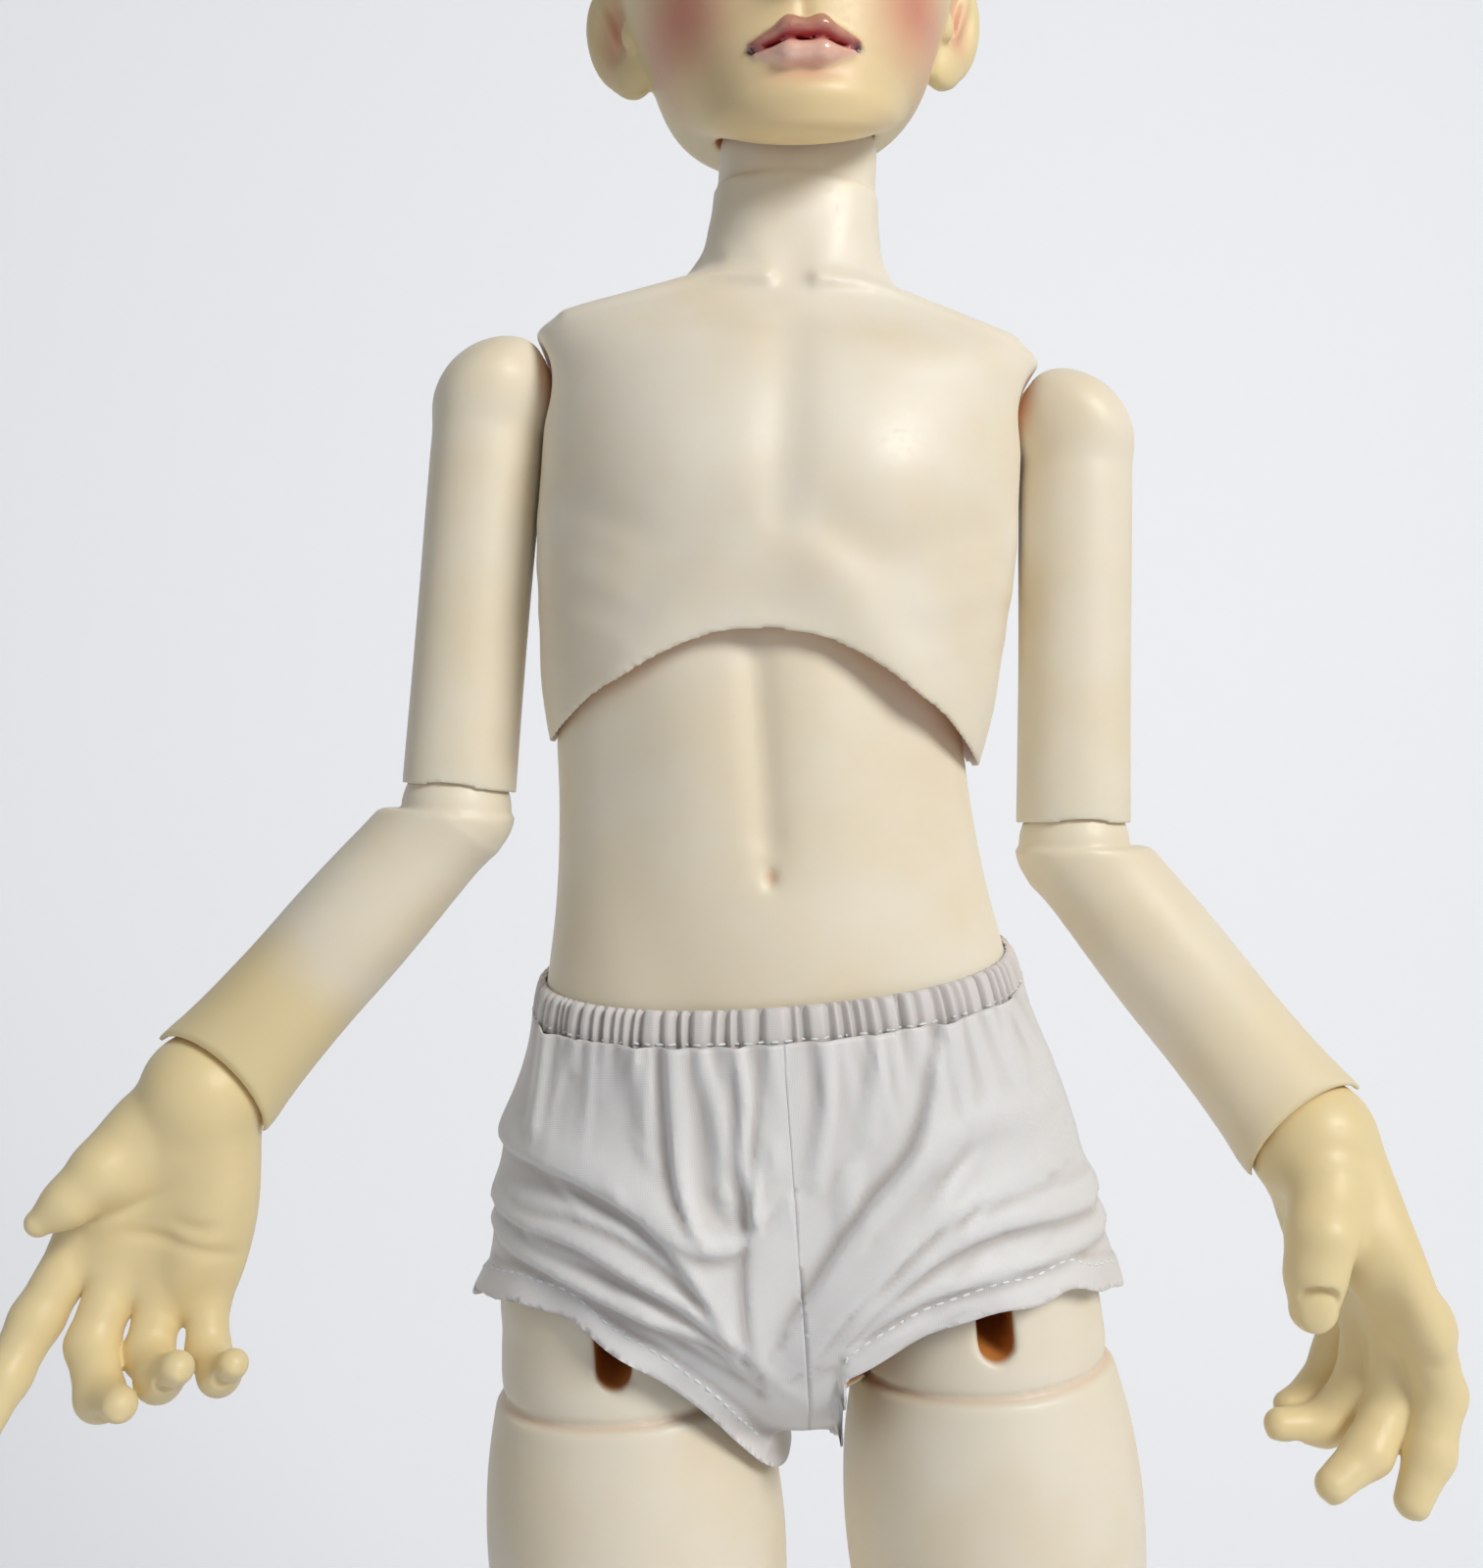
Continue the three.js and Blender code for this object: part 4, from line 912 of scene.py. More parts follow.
def feet():
    b = Block((-19, -70, -ANKLE_HEIGHT - 2), (19, 28, 14), 0.7)
    rows = np.array(FOOT_ROWS, np.float32)
    ahead = -b.y.ravel()
    wide, under, over = [hermite(rows[:, 0], rows[:, c], ahead)[None, :, None] for c in (1, 2, 3)]
    up = b.z + ANKLE_HEIGHT - FOOT_MIDDLE
    body = section(b.x, up, wide, under, over, FOOT_SQUARE)
    ends = np.maximum(rows[0, 0] + b.y, -b.y - rows[-1, 0]) + 0 * body
    body = smooth_both(body, ends, 3)
    body = smooth_join(body, b.ball((0, 0, 0), ANKLE_BALL), 2.2)
    toes = []
    for x, out, radius in TOES:
        path = [(x, -40, 8), (x, -52, 5.4), (x, -out, 3.4)]
        path = [Vector(p) - Vector((0, 0, ANKLE_HEIGHT)) for p in path]
        toes.append(b.chain(path, (radius, radius, radius * 0.95)))
    body = smooth_join(body, join_all(toes, 0.6), 2)
    for x, out, radius in TOES:
        tip = [Vector((x, -52, 5.4 - ANKLE_HEIGHT)), Vector((x, -out, 3.4 - ANKLE_HEIGHT))]
        body = nail(b, body, tip, radius * 0.95, Vector((-1, 0, 0)))
    body = smooth_cut(body, b.z + ANKLE_HEIGHT + 0 * body, 0.5)
    uncut = body
    body = smooth_cut(body, b.fan((0, 0, 0), *ANKLE_SLOT), 0.8)
    both_sides("foot", b, body, uncut, foot_frame)


# Head

HEAD_ROWS = [
    (0.4, 8.5, 5.5, 2.5, -26.5), (2.2, 12.6, 9, 4, -24), (5.4, 17.2, 15, 6.5, -19.5), (9, 20.2, 22, 11, -13),
    (12, 22.2, 26, 26, -9), (14, 23.8, 27.6, 36, -7), (16.5, 25.6, 29, 42, -5.5), (25, 29, 32.6, 42, -2),
    (36, 32.8, 35.4, 42, 1), (48, 35.2, 37.2, 42, 3),
    (60, 36, 39, 41, 5), (69, 34.8, 38, 38, 6), (77, 30, 32, 31, 6.5), (83, 21.5, 22.5, 21.5, 7),
    (86.4, 10, 11, 10, 7),
]
CAP_FRONT = (-25, 74)
CAP_BACK = (42, 34)
CAP_GAP = 0.17
EYE = (15.5, -23.5, 47)
EYE_RADIUS = 8
MOUTH_HALF = [(9.9, 14.5), (6.4, 14.7), (3.4, 15.5), (0, 15.3)]
MOUTH = [(-x, z) for x, z in MOUTH_HALF] + MOUTH_HALF[-2::-1]
MOUTH_WIDTH = 0.55
BROW = [(6, 56.5), (14, 59.5), (25, 57)]
# Relief of the cheeks, the eyes' hollows and the brows for the left, then of the chin and the mouth
FACE_RELIEF = [
    (1.4, (19, 33), (9, 9)), (-3.2, (15.5, 47.5), (11, 6)), (1.6, [(6, 55), (16, 58), (26, 55)], 4),
]
CHIN_RELIEF = [(0.8, (0, 5.6), (9, 5)), (-0.9, (0, 10), (8, 2.4))]
MOUTH_RELIEF = [(-0.8, MOUTH, MOUTH_WIDTH), (-0.6, [(0, 25), (0, 20.5)], 1.4)]
HEAD_ROOM = [(16.5, 20.5, 24, 36, -5), (36, 28, 30, 37, 1), (60, 31, 34, 36, 5), (80, 17, 18, 17, 7)]


def lips(b):
    lower = [(-8.6, -33, 13.8), (-3, -35.2, 13.0), (3, -35.2, 13.0), (8.6, -33, 13.8)]
    both = b.chain(lower, (0.9, 2.1, 2.1, 0.9), 1)
    for s in SIDES.values():
        upper = [(s * 9.4, -33, 14.9), (s * 2.8, -35.8, 17.0), (0, -36, 16.6)]
        both = np.minimum(both, b.chain(upper, (1.1, 2.2, 2.1), 1))
    return both


def ear(b, side):
    turn = turned(x=-10, y=side * 16, z=side * -46)
    shell = b.egg((side * 35, 8, 36.5), (2.7, 8.2, 12), turn)
    shell = smooth_join(shell, b.egg((side * 31.6, 5.6, 27.2), (2.6, 4.4, 4.2), turn), 3)
    bowl = b.egg((side * 37.2, 5.6, 37.4), (2.4, 5.4, 7.8), turn)
    shell = smooth_cut(shell, bowl, 1.0)
    fold = b.egg((side * 36.8, 7.6, 38.6), (1.2, 1.3, 5.6), turn)
    shell = smooth_join(shell, fold, 1.2)
    return smooth_join(shell, b.egg((side * 32.6, 1.8, 34), (1.6, 2, 3)), 1.2)


def head():
    b = Block((-46, -46, -2), (46, 50, 90), 0.6)
    body = b.loft(HEAD_ROWS, 2.1, 2)
    front = b.facing(-12, 4)
    nose = b.chain([(0, -34, 45), (0, -36.4, 37), (0, -38.4, 29)], (2.4, 3, 3.8))
    body = smooth_join(body, nose, 4)
    for s in SIDES.values():
        body = smooth_join(body, b.ball((s * 4.2, -35.2, 27.6), 3.0), 2)
        b.relief(body, front, FACE_RELIEF, s)
    b.relief(body, front, CHIN_RELIEF)
    mouth = lips(b)
    body = smooth_join(body, mouth, 1.2)
    b.relief(body, front, MOUTH_RELIEF)
    for s in SIDES.values():
        body = smooth_join(body, ear(b, s), 1.2)
    uncut = body
    room = np.maximum(b.loft(HEAD_ROOM), -b.ball((0, 0, 0), NECK_BALL + 7))
    body = np.maximum(body, -room)
    body = smooth_cut(body, b.ball((0, 0, 0), NECK_BALL + GAP), 0.8)
    for s in SIDES.values():
        body = smooth_cut(body, b.egg((s * EYE[0], EYE[1] - 9, EYE[2]), (7.6, 14, 4.2)), 0.8)
        body = smooth_cut(body, b.ball((s * EYE[0], EYE[1], EYE[2]), EYE_RADIUS + GAP), 0.5)
    way = Vector((0, CAP_BACK[0] - CAP_FRONT[0], CAP_BACK[1] - CAP_FRONT[1])).normalized()
    over = (b.z - CAP_FRONT[1]) * way.y - (b.y - CAP_FRONT[0]) * way.z + 0 * b.x

    def paint(points):
        x, y, z = points.T
        wide = np.abs(x)
        face = np.clip((-20 - y) / 6, 0, 1)
        lip = np.clip(0.5 - (b.sample(mouth, points) - 0.25) / 0.9, 0, 1) * face
        line = b.sample(b.line(MOUTH, MOUTH_WIDTH) + 0 * b.y, points) * face
        at = np.array([p for p, _ in MOUTH])
        rise = z - hermite(at, np.array([q for _, q in MOUTH]), x)
        upper = smooth_step(-0.3, 0.5, rise)
        inner = np.exp(-(rise / np.where(rise < 0, 1.5, 0.9)) ** 2) * np.exp(-(x / 7) ** 2) * lip
        brows = sum(b.line([(s * p, q) for p, q in BROW], 1.6) for s in SIDES.values())
        brow = b.sample(brows + 0 * b.y, points)
        cheek = np.exp(-((wide - 23) / 9) ** 2 - ((z - 25) / 10) ** 2) * np.clip((2 - y) / 12, 0, 1)
        ears = np.exp(-((wide - 35.6) / 3) ** 2 - ((y - 6.4) / 5) ** 2 - ((z - 36.4) / 7) ** 2)
        # Painted shade under the lower lip
        under = np.exp(-(x / 7) ** 2 - ((z - 9.6) / 2.2) ** 2) * face
        corner = np.exp(-((wide - 9.9) / 0.9) ** 2 - ((z - 14.5) / 0.6) ** 2) * face
        return {
            "yellow": np.full(len(points), YELLOWED["head"]),
            "lip": lip,
            "upper": upper,
            "inner": inner,
            "mouth": np.clip(1.2 * line, 0, 1) ** 2,
            "corner": np.clip(1.2 * corner, 0, 1),
            "brow": np.clip(0.55 * brow * face, 0, 1),
            # Blush paint on the cheeks and ears, painted shade under the lower lip and a faint warm tint over
            # the face
            "blush_and_shade": np.clip(0.75 * cheek + 0.6 * ears + 0.4 * under + 0.08 * face, 0, 1),
        }

    shell = np.maximum(body, over + CAP_GAP)
    piece = cast("head_casting", b, shell, uncut, HEAD, paint)
    dress(piece, "head", "face_resin", FACE, "head_shell")
    cap = np.maximum(body, CAP_GAP - over)
    piece = cast("head_cap_casting", b, cap, uncut, HEAD, paint)
    dress(piece, "head_cap", "face_resin", FACE, "head_cap")


def eyes():
    reach = EYE_RADIUS + 1
    for side, s in SIDES.items():
        centre = Vector((s * EYE[0], EYE[1], EYE[2]))
        b = Block(centre - Vector((reach, reach, reach)), centre + Vector((reach, reach, reach)), 0.3)
        body = b.ball(centre, EYE_RADIUS)
        cornea = b.ball(centre - Vector((0, 3.4, 0)), EYE_RADIUS - 3.3)
        body = smooth_join(body, cornea, 0.8)

        def paint(points):
            out = np.hypot(points[:, 0] - centre.x, points[:, 2] - centre.z)
            ahead = np.clip((centre.y - points[:, 1]) / 2, 0, 1)
            return {
                "iris": (1 - smooth_step(3.7, 4.1, out)) * ahead,
                "rim": np.exp(-((out - 3.7) / 0.35) ** 2) * ahead,
                "pupil": (1 - smooth_step(1.5, 1.8, out)) * ahead,
            }

        piece = cast(f"eyeball_{side}", b, body, body, HEAD, paint)
        dress(piece, "head", "eye_acrylic", EYE_LOOK, f"{side}_eye")


# Shorts

CLOTH_ROWS = [
    (318.6, 14.1, 16.1, 21.1), (326, 37, 25.1, 32.1), (334, 50, 29.9, 37.1), (344, 57, 32.5, 39.5),
    (356, 59.5, 33.5, 40.1), (370, 58, 33.3, 38.5), (384, 54.4, 33.1, 35.1), (396, 50.4, 33.1, 32.5),
    (418, 47.6, 32.6, 31.2),
]
LEG_ROWS = [(302, 33.3), (316, 31.6), (330, 29.4), (346, 27.2), (359, 22)]
CLOTH_CLEARANCE = 0.8
CLOTH_THICK = 0.45
BAND_TOP = 408
BAND_HEIGHT = 7.6
BAND_DIP = 10
HEM_TURNED_UP = 6
# Cloth between the legs: drop below the hems, half width in front, lowest edge and room round the leg
TONGUE_DROP = {"right": 0, "left": 16}
TONGUE_HALF = 7.5
TONGUE_END = 317.4
TONGUE_ROUND = 33
# How much the folds stand out
FOLD_GAIN = 1.35
HEM_FLARE = {"right": 1.2, "left": -1.2}
# Height of the leg openings by the angle round the leg: outside 0, front 90, inside 180, back -90
HEMS = {
    "right": [
        (-180, 312), (-140, 318), (-90, 331), (-45, 338), (10, 346.5), (62, 348), (92, 341),
        (119, 329), (139, 317.5), (160, 311), (180, 312),
    ],
    "left": [
        (-180, 318.2), (-140, 320), (-90, 331), (-45, 334), (10, 339), (62, 344), (92, 343),
        (114, 339.5), (135, 333.5), (152, 328), (166, 322), (180, 318.2),
    ],
}
# Folds of the front as soft width, sharp width and points of x, z and height
FRONT_FOLDS = [
    (8, 0.9, [(-2.3, 396, 0.5), (-4.3, 383.7, 0.9), (-7.5, 366, 1.2), (-9.2, 352, 1.3), (-8.6, 337, 0.8)]),
    (3, 1, [(-21.4, 400, 1.1), (-21.3, 384.6, 1.5), (-20.4, 369.8, 1.7), (-18.5, 363.5, 0.8)]),
    (2.4, 1.8, [(-15.4, 396, 0.7), (-13.2, 384.3, 1.4), (-12.7, 369.5, 0.8)]),
    (2.2, 1.2, [(-9.1, 397.2, 0.8), (-8, 386.3, 1.3), (-9.1, 375.5, 1.4), (-7.5, 365.3, 0.7)]),
    (2.6, 1.6, [(-29.2, 401, 0.8), (-28, 396.6, 1.0), (-26.6, 382.5, 0.6)]),
    (2.5, 2.0, [(-43.6, 405, 0.9), (-45.8, 394.4, 1.3), (-48.5, 382.2, 1.0)]),
    (1.8, 1.5, [(-38, 402, 0.8), (-39.5, 393, 0.4)]),
    (7, 1.6, [(-57, 378, 1.5), (-41.8, 373.8, 2.8), (-27, 365.3, 2.7), (-15.7, 349.4, 2.0), (-12, 341, 0.8)]),
    (4, 1.5, [(-26.3, 364.9, 0.6), (-18, 360.6, 1.8), (-12, 360, 1.8), (-8, 363, 0.6)]),
    (5, 1.1, [(-58, 365, 1.4), (-41, 361, 2.6), (-29.4, 355, 2.6), (-20.3, 349.6, 2.1), (-12.3, 341.6, 0.7)]),
    (4, 1, [(-57, 359, 1.2), (-39.3, 352.5, 2.2), (-27.6, 347.3, 2.3), (-16.2, 342.5, 1.9), (-9, 333, 0.5)]),
    (2.4, 0.9, [(-52, 368, 0.6), (-38, 365.6, 1.2), (-27, 360, 1.1), (-19, 353, 0.5)]),
    (2.2, 0.9, [(-50, 361, 0.5), (-36, 356.6, 1.1), (-25, 351, 1.2), (-14, 343, 0.5)]),
    (2.0, 0.9, [(-45, 353.5, 0.4), (-33, 348.6, 1.0), (-22, 343.4, 1.1), (-12, 336, 0.4)]),
    (5, 1.2, [(30.3, 401, 0.9), (28.9, 392.5, 1.3), (23.1, 374.4, 1.7), (13.4, 364.5, 2.0), (-2, 344, 0.8)]),
    (4, 3.0, [(14.9, 364.4, 0.6), (24.2, 372.7, 1.4), (33.5, 377.8, 1.2), (48, 378, 0.4)]),
    (4.5, 1.5, [(-1, 337, 0.5), (5.8, 345.8, 1.5), (15.8, 354.9, 1.9), (28.3, 362.8, 1.7), (47, 366, 0.6)]),
    (4.5, 1.3, [(3, 337.5, 0.5), (11.3, 346.1, 1.6), (19.5, 352.2, 2.1), (32, 357.6, 2.3), (58, 358.5, 1.6)]),
    (4, 1.2, [(5, 337, 0.5), (11.2, 342.5, 1.4), (23.2, 347.9, 1.9), (35.5, 349.8, 2.0), (60, 352.5, 1.4)]),
    (2.2, 1.4, [(9, 397, 0.7), (7, 384, 1.1), (4, 371, 0.5)]),
    (2.2, 1.6, [(18, 398, 0.7), (16.5, 388, 0.9), (14, 378, 0.4)]),
]
BACK_FOLDS = [
    (6, 1.6, [(-56, 372, 1.2), (-34, 358, 2.2), (-14, 336, 0.8)]),
    (6, 1.6, [(12, 336, 0.8), (34, 356, 2.2), (56, 368, 1.2)]),
    (4, 1.4, [(-50, 352, 1.0), (-30, 345, 1.8), (-14, 331, 0.6)]),
    (4, 1.4, [(14, 331, 0.6), (30, 346, 1.8), (50, 354, 1.0)]),
    (8, 0.9, [(0, 404, 0.5), (0, 380, 0.9), (0, 340, 0.8)]),
]
PLEATS = 60
CREASES = 54
GATHERS = 92
# Distance over which a hollow of the cloth is felt, and the hollow that gets the full painted shade
HOLLOW_REACH = 1.7
HOLLOW_FULL = 0.45
# Where the small creases of the front gather
CROTCH = (-4, 331)


def hem_height(side, x, y):
    s = SIDES[side]
    angle = np.degrees(np.arctan2(-y, s * (x - s * HIP_SPREAD)))
    at = np.array([a for a, _ in HEMS[side]], float)
    heights = np.array([z for _, z in HEMS[side]], float)
    turn = np.radians(angle)
    wave = 0.5 * np.sin(7 * turn + s) + 0.35 * np.sin(12 * turn + 2 * s)
    edge = np.minimum(HIP_SPREAD - np.sqrt(np.maximum(TONGUE_ROUND ** 2 - y ** 2, 0)), TONGUE_HALF)
    tongue = 1 - smooth_step(edge - 3, edge, s * x)
    height = hermite(at, heights, angle) + wave
    return np.minimum(height, np.maximum(height - TONGUE_DROP[side] * tongue, TONGUE_END)), angle


def band_line(y):
    """Height of the top of the waistband, which dips to the front."""
    return BAND_TOP + y * math.tan(math.radians(BAND_DIP))


def shorts_field(b):
    """Outer face of the cloth and the resin that it lies over."""
    cloth = b.loft(CLOTH_ROWS, PELVIS_SQUARE)
    skin = b.loft(PELVIS_ROWS, PELVIS_SQUARE)
    for s in SIDES.values():
        leg = b.loft([(z, r, r, r) for z, r in LEG_ROWS], 2, 0, s * HIP_SPREAD)
        cloth = smooth_join(cloth, leg, 5)
        skin = np.minimum(skin, b.ball((s * HIP_SPREAD, 0, HIP_HEIGHT), HIP_BALL + 0.4))
        thigh = [(HIP_HEIGHT + z, w, f, k) for z, w, f, k in THIGH_ROWS[4:]]
        skin = np.minimum(skin, b.loft(thigh, 2, 0, s * HIP_SPREAD))
    front = b.facing(4, 8)
    ahead = FOLD_GAIN * sum(b.fold(points, soft, sharp) for soft, sharp, points in FRONT_FOLDS)
    behind = FOLD_GAIN * sum(b.fold(points, soft, sharp) for soft, sharp, points in BACK_FOLDS)
    chance = np.random.default_rng(7)
    for k in range(PLEATS):
        x = -46 + 92 * (k // 2 + chance.uniform(0.1, 0.9)) / (PLEATS // 2)
        run = chance.uniform(8, 26)
        top = BAND_TOP - BAND_HEIGHT - (3.5 if k % 2 else -3.5)
        slant = 0.12 * x + chance.uniform(-2, 2)
        line = [(x, top + 3, chance.uniform(0.6, 1.3)), (x + slant, top - run, 0.0)]
        pleat = b.fold(line, chance.uniform(0.9, 1.7), chance.uniform(0.7, 1.1))
        ahead, behind = (ahead + pleat, behind) if k % 2 else (ahead, behind + pleat)
    for k in range(CREASES):
        x = chance.uniform(-54, 54)
        z = chance.uniform(340, 384)
        to_x, to_z = CROTCH[0] - x, CROTCH[1] - z
        share = chance.uniform(8, 20) / math.hypot(to_x, to_z)
        sag = chance.uniform(-1.6, 1.6)
        middle = (x + 0.5 * share * to_x, z + 0.5 * share * to_z + sag, chance.uniform(0.35, 0.8))
        line = [(x, z, 0.0), middle, (x + share * to_x, z + share * to_z, 0.0)]
        crease = b.fold(line, chance.uniform(1.2, 2.4), chance.uniform(0.8, 1.2))
        ahead, behind = (ahead + crease, behind) if k % 3 else (ahead, behind + crease)
    cloth = cloth - front * ahead - (1 - front) * behind
    for side, s in SIDES.items():
        height, angle = hem_height(side, b.x, b.y)
        up = b.z - height
        turn = np.radians(angle)
        flare = 0.6 + 0.6 * np.sin(5 * turn + s) + 0.4 * np.sin(9 * turn)
        flare = flare + HEM_FLARE[side] * np.exp(-((angle - 8) / 22) ** 2)
        half = smooth_step(1, 9, s * b.x)
        cloth = cloth - half * flare * np.exp(-(np.maximum(up, 0) / 5) ** 2)
        cloth = cloth - half * 0.25 * (1 - smooth_step(HEM_TURNED_UP - 0.5, HEM_TURNED_UP, up))
        cloth = cloth + half * 0.3 * np.exp(-((up - HEM_TURNED_UP - 0.3) / 0.8) ** 2)
    return smooth_join(cloth, skin - CLOTH_CLEARANCE, 1.2), skin


def trimmed(points, quads, above, way, reach):
    """Keeps the faces where above is positive, with their cut edge drawn onto zero."""
    keep = (above[quads] > -reach).all(1)
    held = np.zeros(len(points), bool)
    held[quads[keep]] = True
    lost = np.zeros(len(points), bool)
    lost[quads[~keep]] = True
    edge = held & lost
    points = points.copy()
    points[edge] -= above[edge, None] * np.array(way)
    index = np.cumsum(held) - 1
    return points[held], index[quads[keep]]


def thickened(points, quads, thick):
    """Sheet with a second face inside it and a rim round its edges."""
    corners = points[quads]
    normals = np.cross(corners[:, 2] - corners[:, 0], corners[:, 3] - corners[:, 1])
    out = np.zeros_like(points)
    for k in range(4):
        np.add.at(out, quads[:, k], normals)
    out /= np.maximum(np.linalg.norm(out, axis=1, keepdims=True), 1e-9)
    count = len(points)
    runs = np.concatenate([quads[:, [k, (k + 1) % 4]] for k in range(4)])
    key = np.sort(runs, axis=1)
    _, first, uses = np.unique(key[:, 0] * count + key[:, 1], return_index=True, return_counts=True)
    rim = runs[first[uses == 1]]
    rim = np.stack([rim[:, 1], rim[:, 0], rim[:, 0] + count, rim[:, 1] + count], 1)
    faces = np.concatenate([quads, quads[:, ::-1] + count, rim])
    return np.concatenate([points, points - thick * out]), faces


def stitches(name, points, out, run=1.7, gap=0.9, radius=0.24):
    """Short rounded threads that follow points on a surface."""
    points = np.array(points)
    along = np.concatenate([[0], np.cumsum(np.linalg.norm(np.diff(points, axis=0), axis=1))])
    starts = np.arange(0, along[-1] - run, run + gap)
    rings = [(0.0, 0.35), (0.2, 1.0), (0.5, 1.15), (0.8, 1.0), (1.0, 0.35)]
    sides = 6
    places, faces = [], []
    for start in starts:
        base = len(places)
        for share, fat in rings:
            where = start + run * share
            centre = np.array([np.interp(where, along, points[:, c]) for c in range(3)])
            up = np.array([np.interp(where, along, out[:, c]) for c in range(3)])
            ahead = np.array([np.interp(where + 0.1, along, points[:, c]) for c in range(3)]) - centre
            aside = np.cross(up, ahead)
            aside /= max(np.linalg.norm(aside), 1e-9)
            for k in range(sides):
                turn = 2 * math.pi * k / sides
                spoke = 0.7 * up * math.sin(turn) + 1.1 * aside * math.cos(turn)
                places.append(centre + radius * fat * spoke)
        for r in range(len(rings) - 1):
            for k in range(sides):
                low, high = base + r * sides, base + (r + 1) * sides
                faces.append((low + k, low + (k + 1) % sides, high + (k + 1) % sides, high + k))
        last = base + (len(rings) - 1) * sides
        faces.append(tuple(base + k for k in reversed(range(sides))))
        faces.append(tuple(last + k for k in range(sides)))
    piece = mesh_piece(name, np.array(places), faces)
    piece.data.materials.append(THREAD)
    return piece


def on_surface(b, field, points):
    """Points drawn onto the zero of a field, and the way out of it there."""
    for _ in range(8):
        out = b.slope(field, points)
        points = points - 0.9 * b.sample(field, points)[:, None] * out
    return points, out


def shorts():
    b = Block((-74, -46, 308), (74, 50, 412), 0.85)
    cloth, skin = shorts_field(b)
    points, quads = b.surface(cloth)
    quads = outward(points, quads)
    below = band_line(points[:, 1]) - BAND_HEIGHT + 1.6 - points[:, 2]
    points, quads = trimmed(points, quads, below, (0, 0, -1), 0.5 * b.step)
    for side, s in SIDES.items():
        half, faces = trimmed(points, quads, s * points[:, 0], (s, 0, 0), 0.5 * b.step)
        height, _ = hem_height(side, half[:, 0], half[:, 1])
        half, faces = trimmed(half, faces, half[:, 2] - height, (0, 0, 1), 0.5 * b.step)
        half, faces = thickened(half, faces, CLOTH_THICK)
        near = np.exp(-np.maximum(b.sample(skin, half), 0) / 1.6)
        around = [(HOLLOW_REACH, 0, 0), (-HOLLOW_REACH, 0, 0), (0, 0, HOLLOW_REACH), (0, 0, -HOLLOW_REACH)]
        # Painted shade: how far the cloth lies below the cloth round it
        lower = b.sample(cloth, half) - sum(b.sample(cloth, half + np.array(a)) for a in around) / 4
        values = {"near": near, "hollow_shade": np.clip(lower / HOLLOW_FULL, 0, 1)}
        piece = mesh_piece(f"shorts_{side}", half, faces, values=values)
        piece.data.materials.append(COTTON)
        turns = np.radians(np.linspace(-150, 150, 240))
        ring = np.stack([s * (HIP_SPREAD + 30 * np.cos(turns)), -30 * np.sin(turns), 0 * turns], 1)
        for _ in range(3):
            ring[:, 2] = hem_height(side, ring[:, 0], ring[:, 1])[0] + HEM_TURNED_UP - 1
            ring, out = on_surface(b, cloth, ring)
        seam = stitches(f"hem_stitches_{side}", ring, out)
        for soft in (piece, seam):
            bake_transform(soft)
        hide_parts("shorts")


# Waistband

BAND_ROWS = {0: (49.6, 32.8, 31.4), 1: (47.8, 32.4, 30.6)}
BAND_THICK = 1.5


def waistband():
    chance = np.random.default_rng(11)
    spaces = chance.uniform(0.6, 1.5, GATHERS)
    furrows = np.cumsum(spaces) / spaces.sum()
    depths = chance.uniform(0.8, 1.8, GATHERS)
    leans = chance.uniform(-0.0012, 0.0012, GATHERS)
    turns = np.linspace(0, 1, 1400, endpoint=False)
    heights = [0.0, 0.04, 0.12, 0.3, 0.5, 0.7, 0.88, 0.96, 1.0]
    puffs = [-0.75, -0.25, 0.0, 0.12, 0.2, 0.12, 0.0, -0.25, -0.75]
    rows, furrow_shades = [], []
    heights += [0.98, 0.5, 0.02]
    puffs += 3 * [-BAND_THICK]
    for up, puff in zip(heights, puffs):
        wide, front, back = [BAND_ROWS[0][c] * (1 - up) + BAND_ROWS[1][c] * up for c in range(3)]
        apart = turns[:, None] - furrows[None, :] - leans[None, :] * (up - 0.5)
        apart = (apart + 0.5) % 1 - 0.5
        dent = (depths * np.exp(-(apart / 0.0025) ** 2)).max(1)
        inside = puff == -BAND_THICK
        grow = puff - (0 if inside else dent)
        angle = 2 * math.pi * turns
        c, s = np.cos(angle), np.sin(angle)
        power = 2 / PELVIS_SQUARE
        x = (wide + grow) * np.sign(c) * np.abs(c) ** power
        y = (np.where(s < 0, front, back) + grow) * np.sign(s) * np.abs(s) ** power
        tall = BAND_HEIGHT * (up - 1) - (0 if inside else 0.25 * dent * abs(2 * up - 1))
        rows.append(np.stack([x, y, band_line(y) + tall], 1))
        # Painted shade in the furrows of the band's gathers
        furrow_shades.append(dent / depths.max())
    count, ring = len(turns), len(rows)
    points = np.concatenate(rows)
    here = np.arange(count)
    there = (here + 1) % count
    faces = []
    for r in range(ring):
        low, high = r * count, (r + 1) % ring * count
        faces.append(np.stack([low + here, low + there, high + there, high + here], 1))
    faces = outward(points, np.concatenate(faces))
    values = {"near": np.full(len(points), 0.25), "hollow_shade": np.concatenate(furrow_shades)}
    piece = mesh_piece("waistband_casing", points, faces, values=values)
    dress(piece, "lower_torso", "band_cotton", BAND, "shorts_waistband")
    line = np.concatenate([rows[3][::7] * 0.5 + rows[2][::7] * 0.5, rows[3][:1]])
    out = line * np.array((1, 1, 0)) / np.linalg.norm(line[:, :2], axis=1, keepdims=True)
    seam = stitches("waistband_stitches", line + 0.1 * out, out)
    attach(seam, "lower_torso")


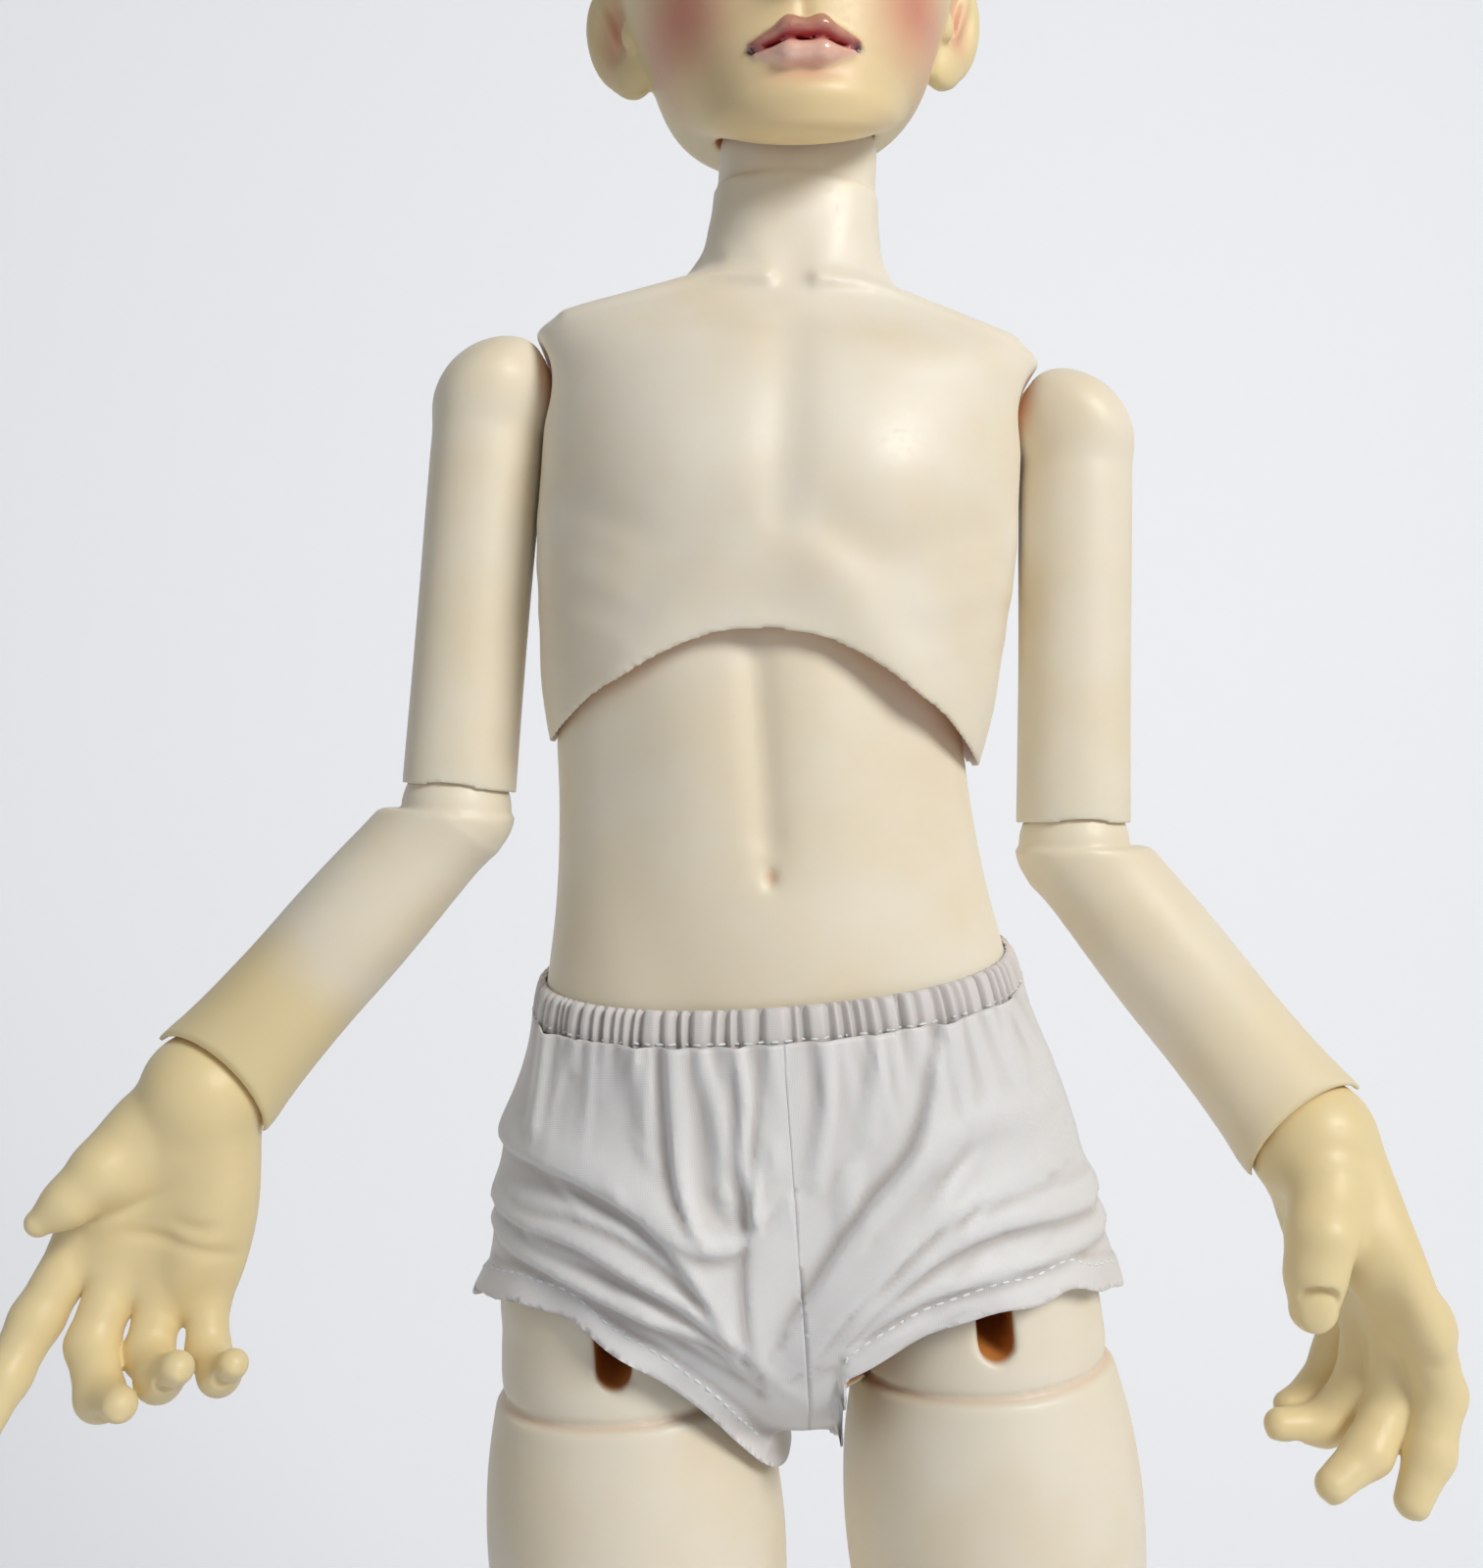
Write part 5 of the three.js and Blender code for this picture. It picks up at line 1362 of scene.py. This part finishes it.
def kept_nodes():
    """Cords, hooks, pins and magnets keep their solids."""
    kinds = {"elastic": (CORD, "elastic_cord"), "hook": (STEEL, "hook_steel"), "pin": (STEEL, "hook_steel")}
    kinds["magnet"] = (NICKEL, "magnet_nickel")
    for name, node in frame["nodes"].items():
        for word, (material, slot) in kinds.items():
            if word in name.split("_"):
                node.data.materials.clear()
                node.data.materials.append(material)
                break


# Camera, lights and floor

FOCAL_PIXELS = 1639
IMAGE_SIZE = (1513, 1600)
CAMERA_AT = Vector((-4.2, -325, 443.6))
CAMERA_ROLL = 4.1
# Lamps as place, aim, size, power and colour, in metres and watts
LAMPS = {
    "key": ((0.8, -0.85, 1.08), (0, 0, 0.46), 0.5, 12.4, (1, 0.98, 0.95)),
    "fill": ((-0.9, -0.9, 0.5), (0, 0, 0.4), 0.9, 1.3, (0.95, 0.97, 1)),
}
SKY_STRENGTH = 0.22
FLOOR_GLOW = 0.42
# Floor sheet that curves up into a wall, in metres
FLOOR_HALF = 3.0
WALL_FROM = 0.55
WALL_ROUND = 0.5
WALL_TALL = 2.4
WALL_STEPS = 16


def camera():
    data = bpy.data.cameras.new("camera")
    data.sensor_width = 36
    data.lens = FOCAL_PIXELS / max(IMAGE_SIZE) * data.sensor_width
    data.clip_start = 0.01
    eye = bpy.data.objects.new("camera", data)
    upright = Matrix.Rotation(math.radians(90), 4, "X")
    turn = Matrix.Rotation(math.radians(CAMERA_ROLL), 4, "Y")
    eye.matrix_world = Matrix.Translation(DOLL @ CAMERA_AT) @ turn @ upright
    bpy.context.collection.objects.link(eye)
    bpy.context.scene.camera = eye


def lamp(name, place, aim, size, power, colour):
    data = bpy.data.lights.new(name, "AREA")
    data.shape = "DISK"
    data.size = size
    data.energy = power
    data.color = colour
    light = bpy.data.objects.new(name, data)
    light.location = place
    light.rotation_euler = (Vector(aim) - Vector(place)).to_track_quat("-Z", "Y").to_euler()
    bpy.context.collection.objects.link(light)


def studio():
    world = bpy.data.worlds.new("studio")
    bpy.context.scene.world = world
    world.use_nodes = True
    sky = world.node_tree.nodes["Background"]
    sky.inputs["Color"].default_value = (0.94, 0.96, 1.0, 1)
    sky.inputs["Strength"].default_value = SKY_STRENGTH
    for name, settings in LAMPS.items():
        lamp(name, *settings)
    outline = [(-FLOOR_HALF, 0.0), (WALL_FROM - 0.01, 0.0)]
    for k in range(WALL_STEPS + 1):
        turn = math.pi / 2 * k / WALL_STEPS
        outline.append((WALL_FROM + WALL_ROUND * math.sin(turn), WALL_ROUND * (1 - math.cos(turn))))
    outline.append((WALL_FROM + WALL_ROUND, WALL_TALL))
    mesh = bpy.data.meshes.new("floor")
    points = [(x, y, z) for y, z in outline for x in (-FLOOR_HALF, FLOOR_HALF)]
    faces = [(2 * k, 2 * k + 1, 2 * k + 3, 2 * k + 2) for k in range(len(outline) - 1)]
    mesh.from_pydata(points, [], faces)
    mesh.shade_smooth()
    floor = bpy.data.objects.new("floor", mesh)
    bpy.context.collection.objects.link(floor)
    m = Nodes("floor_paper")
    paper = m.ramp(m.noise(900, 2), 0.3, 0.7)
    m.set(Base_Color=m.mix(paper, linear(232, 233, 236), linear(236, 237, 240)), Roughness=0.9)
    path = m.add("ShaderNodeLightPath").outputs
    seen = m.math("ADD", path["Is Camera Ray"], path["Is Glossy Ray"])
    seen = m.math("ADD", seen, path["Is Transmission Ray"])
    m.set(Emission_Color=(0.94, 0.95, 0.97, 1), Emission_Strength=m.ramp(seen, 0, 1, 0, FLOOR_GLOW))
    mesh.materials.append(m.material)


BODY = resin_material("body_resin").material
HAND = resin_material("hand_resin").material
FACE = face_material().material
STEEL = steel_material("hook_steel", linear(190, 192, 196), 0.28).material
NICKEL = steel_material("magnet_nickel", linear(205, 205, 208), 0.14).material
CORD = cord_material().material
EYE_LOOK = eye_material().material
COTTON = cotton_material("shorts_cotton", linear(234, 231, 230), linear(226, 211, 198)).material
BAND = cotton_material("band_cotton", linear(222, 219, 217), linear(214, 205, 196)).material
THREAD = cotton_material("sewing_thread", linear(246, 246, 246), linear(240, 238, 236)).material

camera()
studio()
lower_torso()
upper_torso()
upper_arms()
forearms()
hands()
thighs()
shins()
feet()
head()
eyes()
shorts()
waistband()
kept_nodes()

bpy.context.scene.view_settings.view_transform = "Standard"
